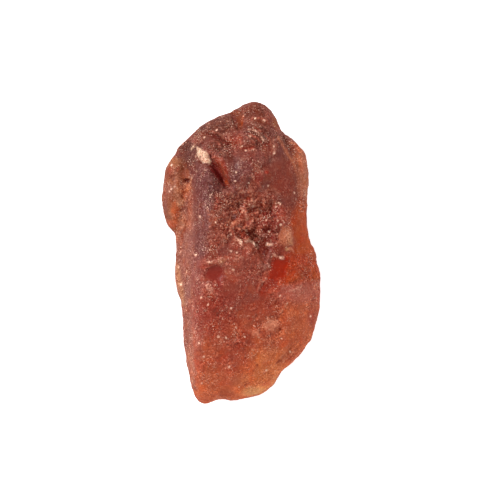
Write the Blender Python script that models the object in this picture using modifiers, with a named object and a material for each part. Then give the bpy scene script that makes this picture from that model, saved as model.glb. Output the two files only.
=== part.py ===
"""Rough garnet: a single water-worn piece of garnet, lying on the broken face of its underside.

The design is in millimetres and the scene in metres. X runs across the stone, Y along it, and Z
up from the surface that it lies on. The origin is on that surface, below the outline's middle.
"""

import math

import bmesh
import bpy
import numpy as np
from mathutils import Vector, noise

NAME = "rough_garnet"
MM = 0.001

# Driving dimensions.
GIRDLE_HEIGHT = 3.4  # mean height of the widest outline
UNDERSIDE_DEPTH = 0.4  # how far the rounded underside would reach below the rest face
TOP_LIMIT = 8.6  # no part of the front is higher
LEAST_BULGE = 0.3  # front and back each stand at least this far off the girdle's level
FRONT_ROUNDING = 4.0  # a higher power keeps the front flatter up to its rim
BACK_ROUNDING = 3.0
RIDGE_BLEND = 0.26  # how softly two faces meet at a ridge
LOBE_BLEND = 0.24  # how softly a lobe grows out of its flank
SCAR_BLEND = 0.05
CUTTER_SIZE = (24, 30, 6)  # of the block that cuts the rest face
BALL_SUBDIVISIONS = 6
GRAIN = 0.12  # voxel size of the worked surface
TRIANGLES = 8400

# The outline seen from above, clockwise from the tip of the top knob.
OUTLINE = (
    # top knob and the notch below it
    (0.85, 10.05), (1.40, 9.95), (1.90, 9.50), (2.30, 9.00), (2.60, 8.30), (2.85, 7.90),
    # right shoulder
    (3.30, 7.65), (3.70, 7.20), (4.20, 6.60), (4.40, 5.80), (4.45, 4.90), (4.35, 3.20),
    # waist, and the bulge of the lower block
    (4.40, 1.70), (4.60, 0.80), (4.95, -0.05), (5.00, -0.65), (5.20, -1.10), (5.25, -2.10),
    (5.20, -3.45), (5.00, -4.60), (4.60, -5.75), (4.00, -6.60), (3.35, -7.30), (2.75, -7.80),
    # nick at the lower right, and the lower end
    (2.45, -8.20), (2.40, -8.50), (1.85, -9.05), (1.10, -9.45), (0.20, -9.65), (-0.60, -9.80),
    (-1.30, -9.70), (-1.90, -9.85), (-2.35, -10.05), (-2.90, -9.80), (-3.25, -9.20),
    # long left side
    (-3.45, -8.20), (-3.65, -7.20), (-3.80, -5.90), (-3.90, -4.10), (-4.00, -3.35),
    (-4.30, -2.40), (-4.40, -1.25), (-4.30, 0.10), (-4.40, 1.00), (-4.50, 1.45),
    # left lobe
    (-4.90, 1.75), (-5.10, 2.60), (-5.25, 3.70), (-5.15, 5.00), (-4.90, 5.95), (-4.40, 6.50),
    # left shoulder and the slanting top
    (-4.20, 7.10), (-3.55, 7.65), (-3.00, 8.15), (-2.40, 8.65), (-1.40, 9.10), (-0.70, 9.40),
    (-0.10, 9.75),
)

# Faces of the front: a point (x, y, z) on each, and its rise per millimetre along X and Y.
FRONT_FACES = (
    ((-2.2, 4.0, 7.8), -0.16, 0.02),  # broad upper front
    ((2.2, 5.4, 7.1), -0.34, 0.04),  # its right half
    ((-1.5, -4.0, 7.3), -0.06, 0.11),  # lower block
    ((-3.30, 4.0, 7.5), 2.30, 0.12),  # steep left wall, upper part
    ((-3.05, -4.4, 6.9), 1.95, -0.10),  # and its lower part
    ((-3.25, 7.4, 7.0), 1.30, -0.80),  # left shoulder
    ((1.0, -4.5, 7.0), -0.41, 0.08),  # right half of the lower block
    ((3.6, -3.4, 5.9), -1.05, 0.06),  # its rounded right flank
    ((2.9, 1.5, 6.5), -0.85, 0.00),  # right flank at the waist
    ((2.75, 7.50, 6.75), -2.00, -1.00),  # behind the right ridge
    ((3.80, 4.60, 6.40), -2.60, -0.55),  # and further down it
    ((-2.0, 7.6, 7.6), 0.20, -0.45),  # slanting top
    ((1.2, 8.6, 7.1), -0.10, -0.65),  # top knob
    ((-1.0, -8.0, 6.7), 0.04, 0.72),  # lower end
    ((1.6, -7.6, 6.0), -0.50, 0.50),  # lower right corner
)

# Faces of the underside, written the same way.
BACK_FACES = (
    ((-2.7, 0.0, 0.30), -0.62, 0.00),
    ((2.6, -1.0, 0.25), 0.55, 0.05),
    ((0.3, 5.9, 0.35), 0.06, 0.40),
    ((0.0, -6.4, 0.25), -0.05, -0.48),
    ((2.8, -5.6, 1.00), 0.42, -0.36),
    ((-2.8, 5.2, 0.90), -0.48, 0.40),
    ((-2.6, -5.4, 0.80), -0.52, -0.30),
)

# Lobes grown onto the flanks: centre, then half-sizes along X, Y and Z.
LOBES = (
    ((-4.25, 3.95, 2.9), (1.05, 2.70, 2.30)),  # left lobe
    ((3.50, 5.35, 3.3), (1.05, 2.75, 2.30)),  # right shoulder
)

# Lumps (raised) and hollows (sunk) of the front: centre, half-widths, turn in degrees, height.
FRONT_LUMPS = (
    ((1.40, 8.70), (1.20, 1.00), 0, 0.30),  # top knob
    ((-1.80, -2.90), (1.60, 1.40), 20, 0.14),
    ((0.60, -7.00), (1.60, 1.10), -20, 0.14),
    ((-2.40, 5.00), (0.80, 1.50), 0, 0.12),
    ((-2.20, 1.60), (0.85, 1.20), 10, 0.16),
    ((1.20, 5.60), (1.50, 1.10), -30, 0.22),
    ((2.90, 4.10), (0.70, 1.10), 20, 0.18),
    ((1.00, 2.10), (1.95, 2.15), -20, -0.72),  # crumbled hollow at the middle
    ((2.55, -1.20), (1.00, 1.10), 30, -0.48),  # smooth scar beside it
    ((1.15, 0.55), (0.50, 0.80), 20, -0.50),  # deepest pit of the hollow
    ((-0.30, 3.30), (0.75, 0.55), 30, -0.26),
    ((2.20, 3.10), (0.60, 0.70), 0, -0.24),
    ((0.55, 3.70), (0.50, 0.38), -20, 0.22),
    ((1.55, 2.05), (0.42, 0.34), 25, 0.26),
    ((-0.15, 1.70), (0.55, 0.32), -30, 0.20),
    ((-1.85, -1.30), (0.70, 0.62), 0, -0.16),  # smooth dimple
    ((3.05, 0.75), (0.40, 0.55), -15, 0.16),
    ((1.80, -4.80), (0.75, 0.45), 15, -0.16),  # pale chip
    ((2.50, -5.20), (0.30, 0.26), 0, -0.20),
    ((3.30, -6.60), (0.60, 0.35), 40, -0.14),
    ((-0.10, 7.00), (1.10, 0.40), -12, -0.16),
    ((1.10, 6.70), (0.90, 0.40), 0, -0.12),
    ((-1.00, -9.20), (0.90, 0.45), 0, -0.16),
    ((-3.95, 4.30), (0.30, 0.40), 0, 0.16),
)
LUMP_STEEPNESS = 1.4  # 1 gives a bell, more gives a flatter top and a steeper side

# Grooves of the front: the points each runs through, its half-width and its depth.
FRONT_GROOVES = (
    (((-2.20, 6.15), (-1.75, 5.60), (-1.30, 5.00), (-0.98, 4.50)), 0.33, 0.78),  # slot
    (((-0.35, 9.50), (-0.25, 9.00), (-0.05, 8.30)), 0.28, 0.36),  # notch of the top
    (((-2.20, 7.70), (-1.30, 7.45), (-0.60, 7.05), (0.30, 6.85)), 0.22, 0.18),  # crease
    (((-3.60, 6.00), (-3.68, 4.60), (-3.80, 3.00), (-3.95, 1.40)), 0.34, 0.22),  # lobe's root
    (((2.75, 7.70), (3.15, 6.85), (3.60, 5.80), (3.95, 4.60)), 0.28, 0.18),  # shoulder's root
    (((0.90, 1.10), (1.30, 0.20), (1.50, -0.70), (1.45, -1.50)), 0.34, 0.24),  # crack
)

# Ledges of the front: the line each breaks along, how far it drops on its left-hand side as
# the line runs, and how far beyond the line the floor takes to rise again.
FRONT_LEDGES = (
    (((-0.50, 1.30), (-0.05, 0.70), (0.65, 0.80), (1.20, 0.30), (1.45, -0.60)), 0.30, 1.20),
    (((0.10, -0.30), (-1.25, -0.35), (-2.40, -0.70)), -0.12, 0.80),  # edge of the lower block
    (((1.90, 6.20), (0.70, 5.50), (0.45, 4.70)), 0.16, 0.90),
    (((3.10, -2.10), (2.10, -2.40), (1.55, -1.60), (1.80, -0.55)), 0.12, 0.80),  # scar's lip
)
LEDGE_BLEND = 0.14  # half-width of the step at a ledge's line
LEDGE_FLOOR = 0.2  # how far the floor below a ledge stays level
WANDER = 0.10  # how far grooves and ledges stray from their lines
WANDER_WAVELENGTH = 0.9

# Scars broken out of the sides and the underside: the centre and radius of the ball that fits
# each one.
SCARS = (
    ((5.60, -6.20, -0.60), 2.70),
    ((-5.20, -6.40, 0.20), 2.30),
    ((3.40, 6.60, -1.30), 2.60),
    ((-2.60, 9.20, 0.20), 2.40),
    ((5.90, 0.60, 0.40), 2.00),
    ((6.30, -2.60, 0.90), 2.10),
    ((-5.90, -0.20, 0.80), 2.05),
    ((-5.60, -3.60, 1.40), 1.75),
    ((0.70, -10.30, 1.20), 2.10),
    ((-3.20, -9.60, 0.60), 1.80),
    ((-4.30, 2.40, -0.80), 1.90),
    ((5.80, 3.60, 1.60), 1.80),
)

# Wavelength and height of the worn lumps that cover the whole stone, and the share of the
# outline's radius over which they fade in from its rim.
WEAR = ((3.4, 0.13), (1.5, 0.07), (0.7, 0.03))
WEAR_FADE = (0.01, 0.12)

# The crumbled zone: where it is, and the wavelength and height of its broken grains.
CRUMBLE_CENTRE = (0.95, 2.0)
CRUMBLE_HALF_SIZE = (2.15, 2.45)
CRUMBLE_FADE = (0.6, 1.1)  # in shares of the half-size
CRUMBLE_GRAINS = ((0.95, 0.15), (0.50, 0.10))

# The front's relief fades in from faces this steep (their normals' Z) and from this far below
# the girdle.
RELIEF_FADE = (0.0, 0.35)
RELIEF_START = 0.6


def smooth_step(value, low, high):
    """0 below low, 1 above high and an even curve between."""
    share = np.clip((value - low) / (high - low), 0.0, 1.0)
    return share * share * (3.0 - 2.0 * share)


def smooth_min(a, b, blend):
    return -blend * np.logaddexp(-a / blend, -b / blend)


def smooth_max(a, b, blend):
    return blend * np.logaddexp(a / blend, b / blend)


def closed_curve(corners, steps=8):
    """Points on a smooth closed curve through the corners (Catmull-Rom)."""
    p = np.array(corners, float)
    before, after, beyond = np.roll(p, 1, 0), np.roll(p, -1, 0), np.roll(p, -2, 0)
    curve = []
    for t in np.arange(steps) / steps:
        curve.append(0.5 * (2 * p + (after - before) * t
                            + (2 * before - 5 * p + 4 * after - beyond) * t ** 2
                            + (3 * p - before - 3 * after + beyond) * t ** 3))
    return np.stack(curve, 1).reshape(-1, 2)


def outline_radius(angle):
    """How far the outline is from the middle in each direction."""
    curve = closed_curve(OUTLINE)
    angles = np.arctan2(curve[:, 1], curve[:, 0])
    order = np.argsort(angles)
    radii = np.hypot(curve[:, 0], curve[:, 1])
    return np.interp(angle, angles[order], radii[order], period=2 * math.pi)


def girdle_height(angle):
    """The widest outline winds up and down round the stone."""
    return GIRDLE_HEIGHT + 0.35 * np.sin(2 * angle + 0.6) + 0.25 * np.sin(3 * angle - 1.1)


def along_path(x, y, path):
    """Distance to a line of straight runs, and that distance signed, positive on its left."""
    nearest = np.full(len(x), np.inf)
    signed = np.zeros(len(x))
    for (ax, ay), (bx, by) in zip(path, path[1:]):
        dx, dy = bx - ax, by - ay
        share = np.clip(((x - ax) * dx + (y - ay) * dy) / (dx * dx + dy * dy), 0, 1)
        off_x, off_y = x - ax - share * dx, y - ay - share * dy
        away = np.hypot(off_x, off_y)
        side = np.sign(dx * off_y - dy * off_x)
        closer = away < nearest
        nearest = np.where(closer, away, nearest)
        signed = np.where(closer, side * away, signed)
    return nearest, signed


def noise_field(points, wavelength, seed):
    """Smooth noise from about -1 to 1 at each point."""
    shift = Vector((seed * 17.3, seed * -9.1, seed * 5.7))
    return np.array([noise.noise(Vector(p) / wavelength + shift) for p in points]) * 1.6


def face_heights(x, y, faces, meet, start):
    """Where sloping faces meet, each ridge blended by meet."""
    height = np.full(len(x), float(start))
    for (ax, ay, az), rise_x, rise_y in faces:
        plane = az + rise_x * (x - ax) + rise_y * (y - ay)
        height = meet(height, plane, RIDGE_BLEND)
    return height


def pillow(directions):
    """Moves the points of a unit ball onto the stone's outline, front faces and underside."""
    angle = np.arctan2(directions[:, 1], directions[:, 0])
    reach = np.minimum(np.hypot(directions[:, 0], directions[:, 1]), 1.0)
    radius = outline_radius(angle) * reach
    x, y = radius * np.cos(angle), radius * np.sin(angle)
    girdle = girdle_height(angle)
    front = face_heights(x, y, FRONT_FACES, smooth_min, TOP_LIMIT)
    back = face_heights(x, y, BACK_FACES, smooth_max, -UNDERSIDE_DEPTH)
    front_rim = (1 - reach ** FRONT_ROUNDING) ** (1 / FRONT_ROUNDING)
    back_rim = (1 - reach ** BACK_ROUNDING) ** (1 / BACK_ROUNDING)
    upper = girdle + np.maximum(front - girdle, LEAST_BULGE) * front_rim
    lower = girdle - np.maximum(girdle - back, LEAST_BULGE) * back_rim
    return np.stack([x, y, np.where(directions[:, 2] >= 0, upper, lower)], 1)


def add_lobes(points, upward):
    """Raises the front to the tops of the lobes."""
    z = points[:, 2].copy()
    for (cx, cy, cz), (half_x, half_y, half_z) in LOBES:
        away = ((points[:, 0] - cx) / half_x) ** 2 + ((points[:, 1] - cy) / half_y) ** 2
        top = cz + half_z * np.sqrt(np.maximum(1 - away, 0))
        z = np.where(upward & (away < 1), smooth_max(z, top, LOBE_BLEND), z)
    points[:, 2] = z
    return points


def front_relief(points):
    """Height added to the front by its lumps, hollows, grooves and ledges."""
    x, y = points[:, 0], points[:, 1]
    stray_x = x + WANDER * noise_field(points, WANDER_WAVELENGTH, 5)
    stray_y = y + WANDER * noise_field(points, WANDER_WAVELENGTH, 6)
    relief = np.zeros(len(points))
    for (cx, cy), (half_x, half_y), turn, height in FRONT_LUMPS:
        c, s = math.cos(math.radians(turn)), math.sin(math.radians(turn))
        u, v = (x - cx) * c + (y - cy) * s, (y - cy) * c - (x - cx) * s
        away = (u / half_x) ** 2 + (v / half_y) ** 2
        relief += height * np.exp(-away ** LUMP_STEEPNESS)
    for path, half_width, depth in FRONT_GROOVES:
        away, _ = along_path(stray_x, stray_y, path)
        relief -= depth * np.exp(-(away / half_width) ** 2)
    for path, drop, reach in FRONT_LEDGES:
        _, side = along_path(stray_x, stray_y, path)
        over = smooth_step(side, -LEDGE_BLEND, LEDGE_BLEND)
        relief -= drop * over * (1 - smooth_step(side, LEDGE_FLOOR, reach))
    return relief


def crumble(points):
    """How strongly the broken, crumbled zone shows at each point, from 0 to 1."""
    u = (points[:, 0] - CRUMBLE_CENTRE[0]) / CRUMBLE_HALF_SIZE[0]
    v = (points[:, 1] - CRUMBLE_CENTRE[1]) / CRUMBLE_HALF_SIZE[1]
    return 1 - smooth_step(np.hypot(u, v), *CRUMBLE_FADE)


def broken_grains(points):
    """Angular ups and downs: each octave folds smooth noise into sharp crests and hollows."""
    height = np.zeros(len(points))
    for seed, (wavelength, amount) in enumerate(CRUMBLE_GRAINS):
        height += amount * (1 - 3 * np.abs(noise_field(points, wavelength, 11 + seed)))
    return height


def carve_scars(points):
    """Presses the surface back to each ball that it lies inside."""
    for centre, radius in SCARS:
        away = points - np.array(centre)
        distance = np.linalg.norm(away, axis=1, keepdims=True)
        sunk = smooth_max(distance, np.full_like(distance, radius), SCAR_BLEND)
        points = np.array(centre) + away / distance * sunk
    return points


def rim_share(points):
    """0 at the outline, rising to 1 a little way in from it."""
    angle = np.arctan2(points[:, 1], points[:, 0])
    reach = np.hypot(points[:, 0], points[:, 1]) / outline_radius(angle)
    return smooth_step(1 - reach, *WEAR_FADE)


def points_of(mesh):
    flat = np.empty(len(mesh.vertices) * 3)
    mesh.vertices.foreach_get("co", flat)
    return flat.reshape(-1, 3)


def normals_of(mesh):
    flat = np.empty(len(mesh.vertices) * 3)
    mesh.vertices.foreach_get("normal", flat)
    return flat.reshape(-1, 3)


def evaluated_mesh(obj):
    """A new mesh of the object with its modifiers applied."""
    graph = bpy.context.evaluated_depsgraph_get()
    return bpy.data.meshes.new_from_object(obj.evaluated_get(graph))


def collection_named(name):
    made = bpy.data.collections.new(name)
    bpy.context.scene.collection.children.link(made)
    return made


def blocked_out_stone():
    """The stone's main form, from a ball moved onto its outline and faces."""
    ball = bmesh.new()
    bmesh.ops.create_icosphere(ball, subdivisions=BALL_SUBDIVISIONS, radius=1.0)
    mesh = bpy.data.meshes.new(NAME)
    ball.to_mesh(mesh)
    ball.free()
    directions = points_of(mesh)
    points = add_lobes(pillow(directions), directions[:, 2] > 0)
    mesh.vertices.foreach_set("co", (points * MM).ravel())
    return mesh


def worked_surface(mesh):
    """Evens the mesh, then works the relief, the scars and the wear into it."""
    blank = bpy.data.objects.new("blank", mesh)
    bpy.context.scene.collection.objects.link(blank)
    remesh = blank.modifiers.new("Even", "REMESH")
    remesh.mode = "VOXEL"
    remesh.voxel_size = GRAIN * MM
    smooth = blank.modifiers.new("Soften", "SMOOTH")
    smooth.factor = 0.5
    smooth.iterations = 2
    worked = evaluated_mesh(blank)
    bpy.data.objects.remove(blank)

    points, normals = points_of(worked) / MM, normals_of(worked)
    facing_up = smooth_step(normals[:, 2], *RELIEF_FADE)
    facing_up *= smooth_step(points[:, 2], GIRDLE_HEIGHT - RELIEF_START, GIRDLE_HEIGHT)
    points[:, 2] += front_relief(points) * facing_up
    points = carve_scars(points)
    inner = rim_share(points)
    swell = sum(height * noise_field(points, wavelength, seed)
                for seed, (wavelength, height) in enumerate(WEAR))
    crumbs = crumble(points) * facing_up * broken_grains(points)
    moved = points + normals * (swell * inner + crumbs)[:, None]
    worked.vertices.foreach_set("co", (moved * MM).ravel())
    worked.update()
    return worked


def thinned(obj):
    """Keeps the triangles where the surface bends, down to TRIANGLES in all."""
    faces = sum(len(face.vertices) - 2 for face in obj.data.polygons)
    decimate = obj.modifiers.new("Thin", "DECIMATE")
    decimate.ratio = TRIANGLES / faces


def rest_cut(obj):
    """Cuts the underside flat at Z = 0, as the broken face that the stone lies on."""
    slab = bmesh.new()
    bmesh.ops.create_cube(slab, size=1.0)
    mesh = bpy.data.meshes.new("underside_cutter")
    slab.to_mesh(mesh)
    slab.free()
    cutter = bpy.data.objects.new("underside_cutter", mesh)
    cutter.scale = [side * MM for side in CUTTER_SIZE]
    cutter.location = (0, 0, -CUTTER_SIZE[2] / 2 * MM)
    cutter.hide_render = True
    cutter.display_type = "WIRE"
    collection_named("cutters").objects.link(cutter)
    cut = obj.modifiers.new("Rest face", "BOOLEAN")
    cut.operation = "DIFFERENCE"
    cut.solver = "EXACT"
    cut.object = cutter


def garnet_material():
    material = bpy.data.materials.new("garnet")
    material.use_nodes = True
    shader = material.node_tree.nodes["Principled BSDF"]
    shader.inputs["Base Color"].default_value = (0.33, 0.06, 0.03, 1)
    shader.inputs["Roughness"].default_value = 0.45
    shader.inputs["Metallic"].default_value = 0.0
    shader.inputs["IOR"].default_value = 1.77
    return material


def build():
    for obj in list(bpy.data.objects):
        bpy.data.objects.remove(obj, do_unlink=True)
    stone = bpy.data.objects.new(NAME, worked_surface(blocked_out_stone()))
    collection_named("garnet").objects.link(stone)
    stone.data.materials.append(garnet_material())
    thinned(stone)
    rest_cut(stone)


build()
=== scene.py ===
"""The looks of a rough garnet: its fine surface, its colours, a pale floor and soft light.

The stone is worked in millimetres and brought back to metres at the end. X runs across it, Y
along it and Z up from the floor that it lies on. Unless a comment says otherwise, sizes and
heights are in millimetres, turns in degrees, and strengths from 0 to 1.
"""

import math

import bpy
import numpy as np
from mathutils import Matrix, Vector
from mathutils.bvhtree import BVHTree


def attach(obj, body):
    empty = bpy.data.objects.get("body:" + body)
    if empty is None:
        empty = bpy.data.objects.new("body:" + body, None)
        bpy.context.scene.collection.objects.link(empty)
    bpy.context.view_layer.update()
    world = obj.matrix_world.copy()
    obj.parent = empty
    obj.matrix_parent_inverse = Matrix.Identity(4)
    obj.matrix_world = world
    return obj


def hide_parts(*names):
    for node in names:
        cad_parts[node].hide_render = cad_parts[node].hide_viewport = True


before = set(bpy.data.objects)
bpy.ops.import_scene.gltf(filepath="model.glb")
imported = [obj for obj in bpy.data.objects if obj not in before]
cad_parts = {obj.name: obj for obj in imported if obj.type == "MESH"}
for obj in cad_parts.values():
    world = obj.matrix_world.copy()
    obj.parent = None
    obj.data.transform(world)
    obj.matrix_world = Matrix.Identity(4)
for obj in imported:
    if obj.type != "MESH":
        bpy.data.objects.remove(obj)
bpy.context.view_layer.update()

MM = 0.001


def tint(red, green, blue):
    """A colour given in display values from 0 to 255, as linear light."""
    def linear(value):
        share = value / 255
        return share / 12.92 if share <= 0.04045 else ((share + 0.055) / 1.055) ** 2.4
    return (linear(red), linear(green), linear(blue), 1.0)


# Dusky tones.
SOOT = tint(70, 29, 22)
PLUM = tint(82, 39, 32)
UMBER = tint(83, 37, 26)
DUSK = tint(95, 46, 43)
# the mauve haze below is a painted sheen, light reflected off the frosted face
MAUVE_SHEEN = tint(96, 47, 43)
HEATHER = tint(102, 55, 52)
BARK = tint(96, 39, 27)
CHESTNUT = tint(97, 33, 14)
MAUVE = tint(119, 63, 59)
COCOA = tint(123, 62, 52)
ROSE = tint(140, 84, 71)
TAUPE = tint(158, 106, 102)
# Reds.
OXBLOOD = tint(100, 30, 20)
MAROON = tint(112, 26, 24)
MAHOGANY = tint(130, 58, 44)
GARNET = tint(143, 51, 40)
BRICK = tint(144, 67, 53)
RUSSET = tint(150, 66, 49)
RUST = tint(156, 72, 52)
CRIMSON = tint(150, 46, 28)
VERMILION = tint(158, 63, 43)
EMBER = tint(166, 42, 17)
GLOW = tint(178, 60, 30)
# Browns and oranges.
COPPER = tint(116, 44, 12)
GINGER = tint(140, 58, 32)
NUTMEG = tint(134, 73, 47)
OCHRE = tint(140, 78, 34)
TAN = tint(148, 92, 60)
SIENNA = tint(176, 69, 22)
CLAY = tint(166, 90, 64)
FAWN = tint(184, 108, 77)
AMBER = tint(194, 94, 57)
ORANGE = tint(208, 110, 63)
# Pale tones.
SALMON = tint(184, 94, 74)
SAND = tint(200, 126, 94)
PEACH = tint(206, 122, 92)
SHELL = tint(202, 140, 118)
STRAW = tint(194, 136, 94)
BUFF = tint(214, 150, 116)
GOLD = tint(224, 150, 92)
CREAM = tint(228, 188, 158)
# the last two are the colours of painted sparkle and painted glints
SPARK = tint(244, 186, 160)
GLINT = tint(255, 206, 178)

# Tones that lighten or darken the colour below them.
# the first makes the paler colour of the painted sparkle
PALER = (1.50, 1.95, 2.10, 1.0)
GRAIN_DARK = (0.62, 0.43, 0.39, 1.0)  # the grain darkens to red and lightens to pale
GRAIN_PALE = (1.34, 1.40, 1.40, 1.0)
CRUMB_DARK = (0.66, 0.42, 0.36, 1.0)
CRUMB_PALE = (1.24, 1.48, 1.54, 1.0)
MOTTLE_DARK = (0.88, 0.77, 0.75, 1.0)
MOTTLE_PALE = (1.05, 1.07, 1.07, 1.0)

# Seeds that keep the noises apart.
SEEDS = {
    "crumble edge": 21, "crumbs": 31, "wander": 41, "swell": 61, "crests": 65, "whole crests": 68,
    "frost": 71, "frost patches": 73, "blotches": 81, "waver": 91, "flecks": 151,
    "fleck edge": 161, "line breaks": 171,
}
SEED_STEP = 10  # between the sizes of one kind of grain

# Slopes of the surface, 0 upright and 1 level, between which things fade in.
FRONT_SLOPES = (0.05, 0.45)  # relief of the front
PAINT_SLOPES = (-0.1, 0.4)  # its colours
MARK_SLOPES = (0.1, 0.6)  # its spots and glints
RIM_SLOPES = (0.1, 0.4)  # here the rim's painted shade fades out

# The stone's skin.
GIRDLE_HEIGHT = 3.4
MERGE_DISTANCE = 1e-7  # metres, for the loose corners of the solid's faces
SKIN_GRAIN = 0.055  # size of the skin's faces while it is worked
SKIN_SOFTENING = 14  # passes that round off the facets of the solid
SKIN_SOFTNESS = 0.5  # of each pass
SKIN_TRIANGLES = 190_000
UNDERSIDE_TOP = GIRDLE_HEIGHT - 0.8
UNDERSIDE_THINNING = 0.8  # how much more the hidden side is thinned than the front
REST_FADE = (0.02, 0.30)  # heights: no relief on the rest face, and all of it above

# Fine lumps all over: wavelength and height.
WEAR = ((1.30, 0.070), (0.60, 0.045), (0.30, 0.022))
CRUMBLED_WEAR = 0.5  # how much of the lumps the crumbled places lose

# Frosted patches: the size and height of their grains, and the patches' own wavelength.
FROST_GRAINS = ((0.30, 0.060), (0.16, 0.034))
FROST_PATCHES = 1.2
FROST_RANGE = (-0.5, 0.4)  # of the patches' noise, from thin frost to thick
THIN_FROST = 0.25  # share of the grains' height that thin frost keeps
FLANK_FROST = 0.35  # and that the flanks keep

# Crumbled places: centre, half-sizes, turn, how strongly they are broken.
CRUMBLED = (
    ((0.55, 2.2), (2.7, 2.6), 0, 1.0),  # the hollow
    ((-1.3, 2.2), (1.1, 1.9), 0, 0.7),
    ((-0.45, 7.4), (1.4, 0.55), -14, 0.45),  # below the crease
    ((1.5, -0.95), (0.45, 1.8), -20, 0.6),  # beside the clear red scar
    ((-0.7, -1.2), (0.8, 0.55), 0, 0.3),
    ((-1.1, -0.35), (1.7, 0.35), 5, 0.5),  # ledge across the waist
    ((-3.9, 3.6), (0.35, 1.9), 5, 0.2),  # root of the lobe
    ((-4.6, 5.4), (0.6, 0.7), 0, 0.25),
    ((2.1, 6.9), (0.35, 0.9), 0, 0.4),
    ((0.9, 8.6), (1.0, 0.6), 0, 0.3),
    ((1.1, 5.0), (0.6, 0.8), 0, 0.4),
    ((-2.7, 7.6), (0.8, 0.5), 30, 0.4),
    ((3.0, -6.9), (0.9, 0.4), 38, 0.4),
    ((1.8, -5.0), (1.1, 0.6), 10, 0.3),
    ((-0.7, -7.4), (0.4, 0.4), 0, 0.4),
)
CRUMBLE_WAVER = (0.8, 0.30)  # wavelength and reach of the noise that strays their edges
CRUMBLE_EDGE = (0.55, 1.05)  # they fade out between these shares of their size
CRUMBLE_GRAINS = ((0.62, 0.030), (0.34, 0.038), (0.19, 0.034))  # size and height
CRUMBLE_SWELL = (0.90, 0.03)
CRUMBLE_CRESTS = ((0.62, 0.025), (0.36, 0.040))
GRAIN_AT_CRACKS = 0.75  # share of a grain's height that is left at its cracks
CRUMB_TONE = (0.97, 0.86, 0.82)  # the broken places are redder
CRUMB_CONTRAST = (0.08, 0.30, 0.50)  # how strongly each size of grain is painted: highlight on high facets, shade on low ones
CRUMB_TILT = (0.1, 0.9)  # how high or low a grain's facet is before its painted highlight or shade shows
# painted shade in the cracks, then painted highlight on the crests
CRACK_SHADE = 0.4
CREST_HIGHLIGHT = 0.34
CREST_BREAKS = 0.5  # wavelength of the breaks in the pale crests
CREST_WHOLE = (-0.4, 0.3)  # where that noise leaves a crest

# The slot: the line of its floor, how far each wall reaches from it, its depth, and how fast it
# deepens from its upper and its lower end.
SLOT = ((-1.98, 6.2), (-1.62, 5.65), (-1.28, 5.1), (-1.0, 4.52))
SLOT_DARK_WALL = 0.34
SLOT_RED_WALL = 0.60
SLOT_DEPTH = 0.32
SLOT_UPPER_END = (-0.02, 0.35)
SLOT_LOWER_END = (-0.02, 0.25)
SLOT_FLOOR = -0.02  # the dark wall ends just short of the line

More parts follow.
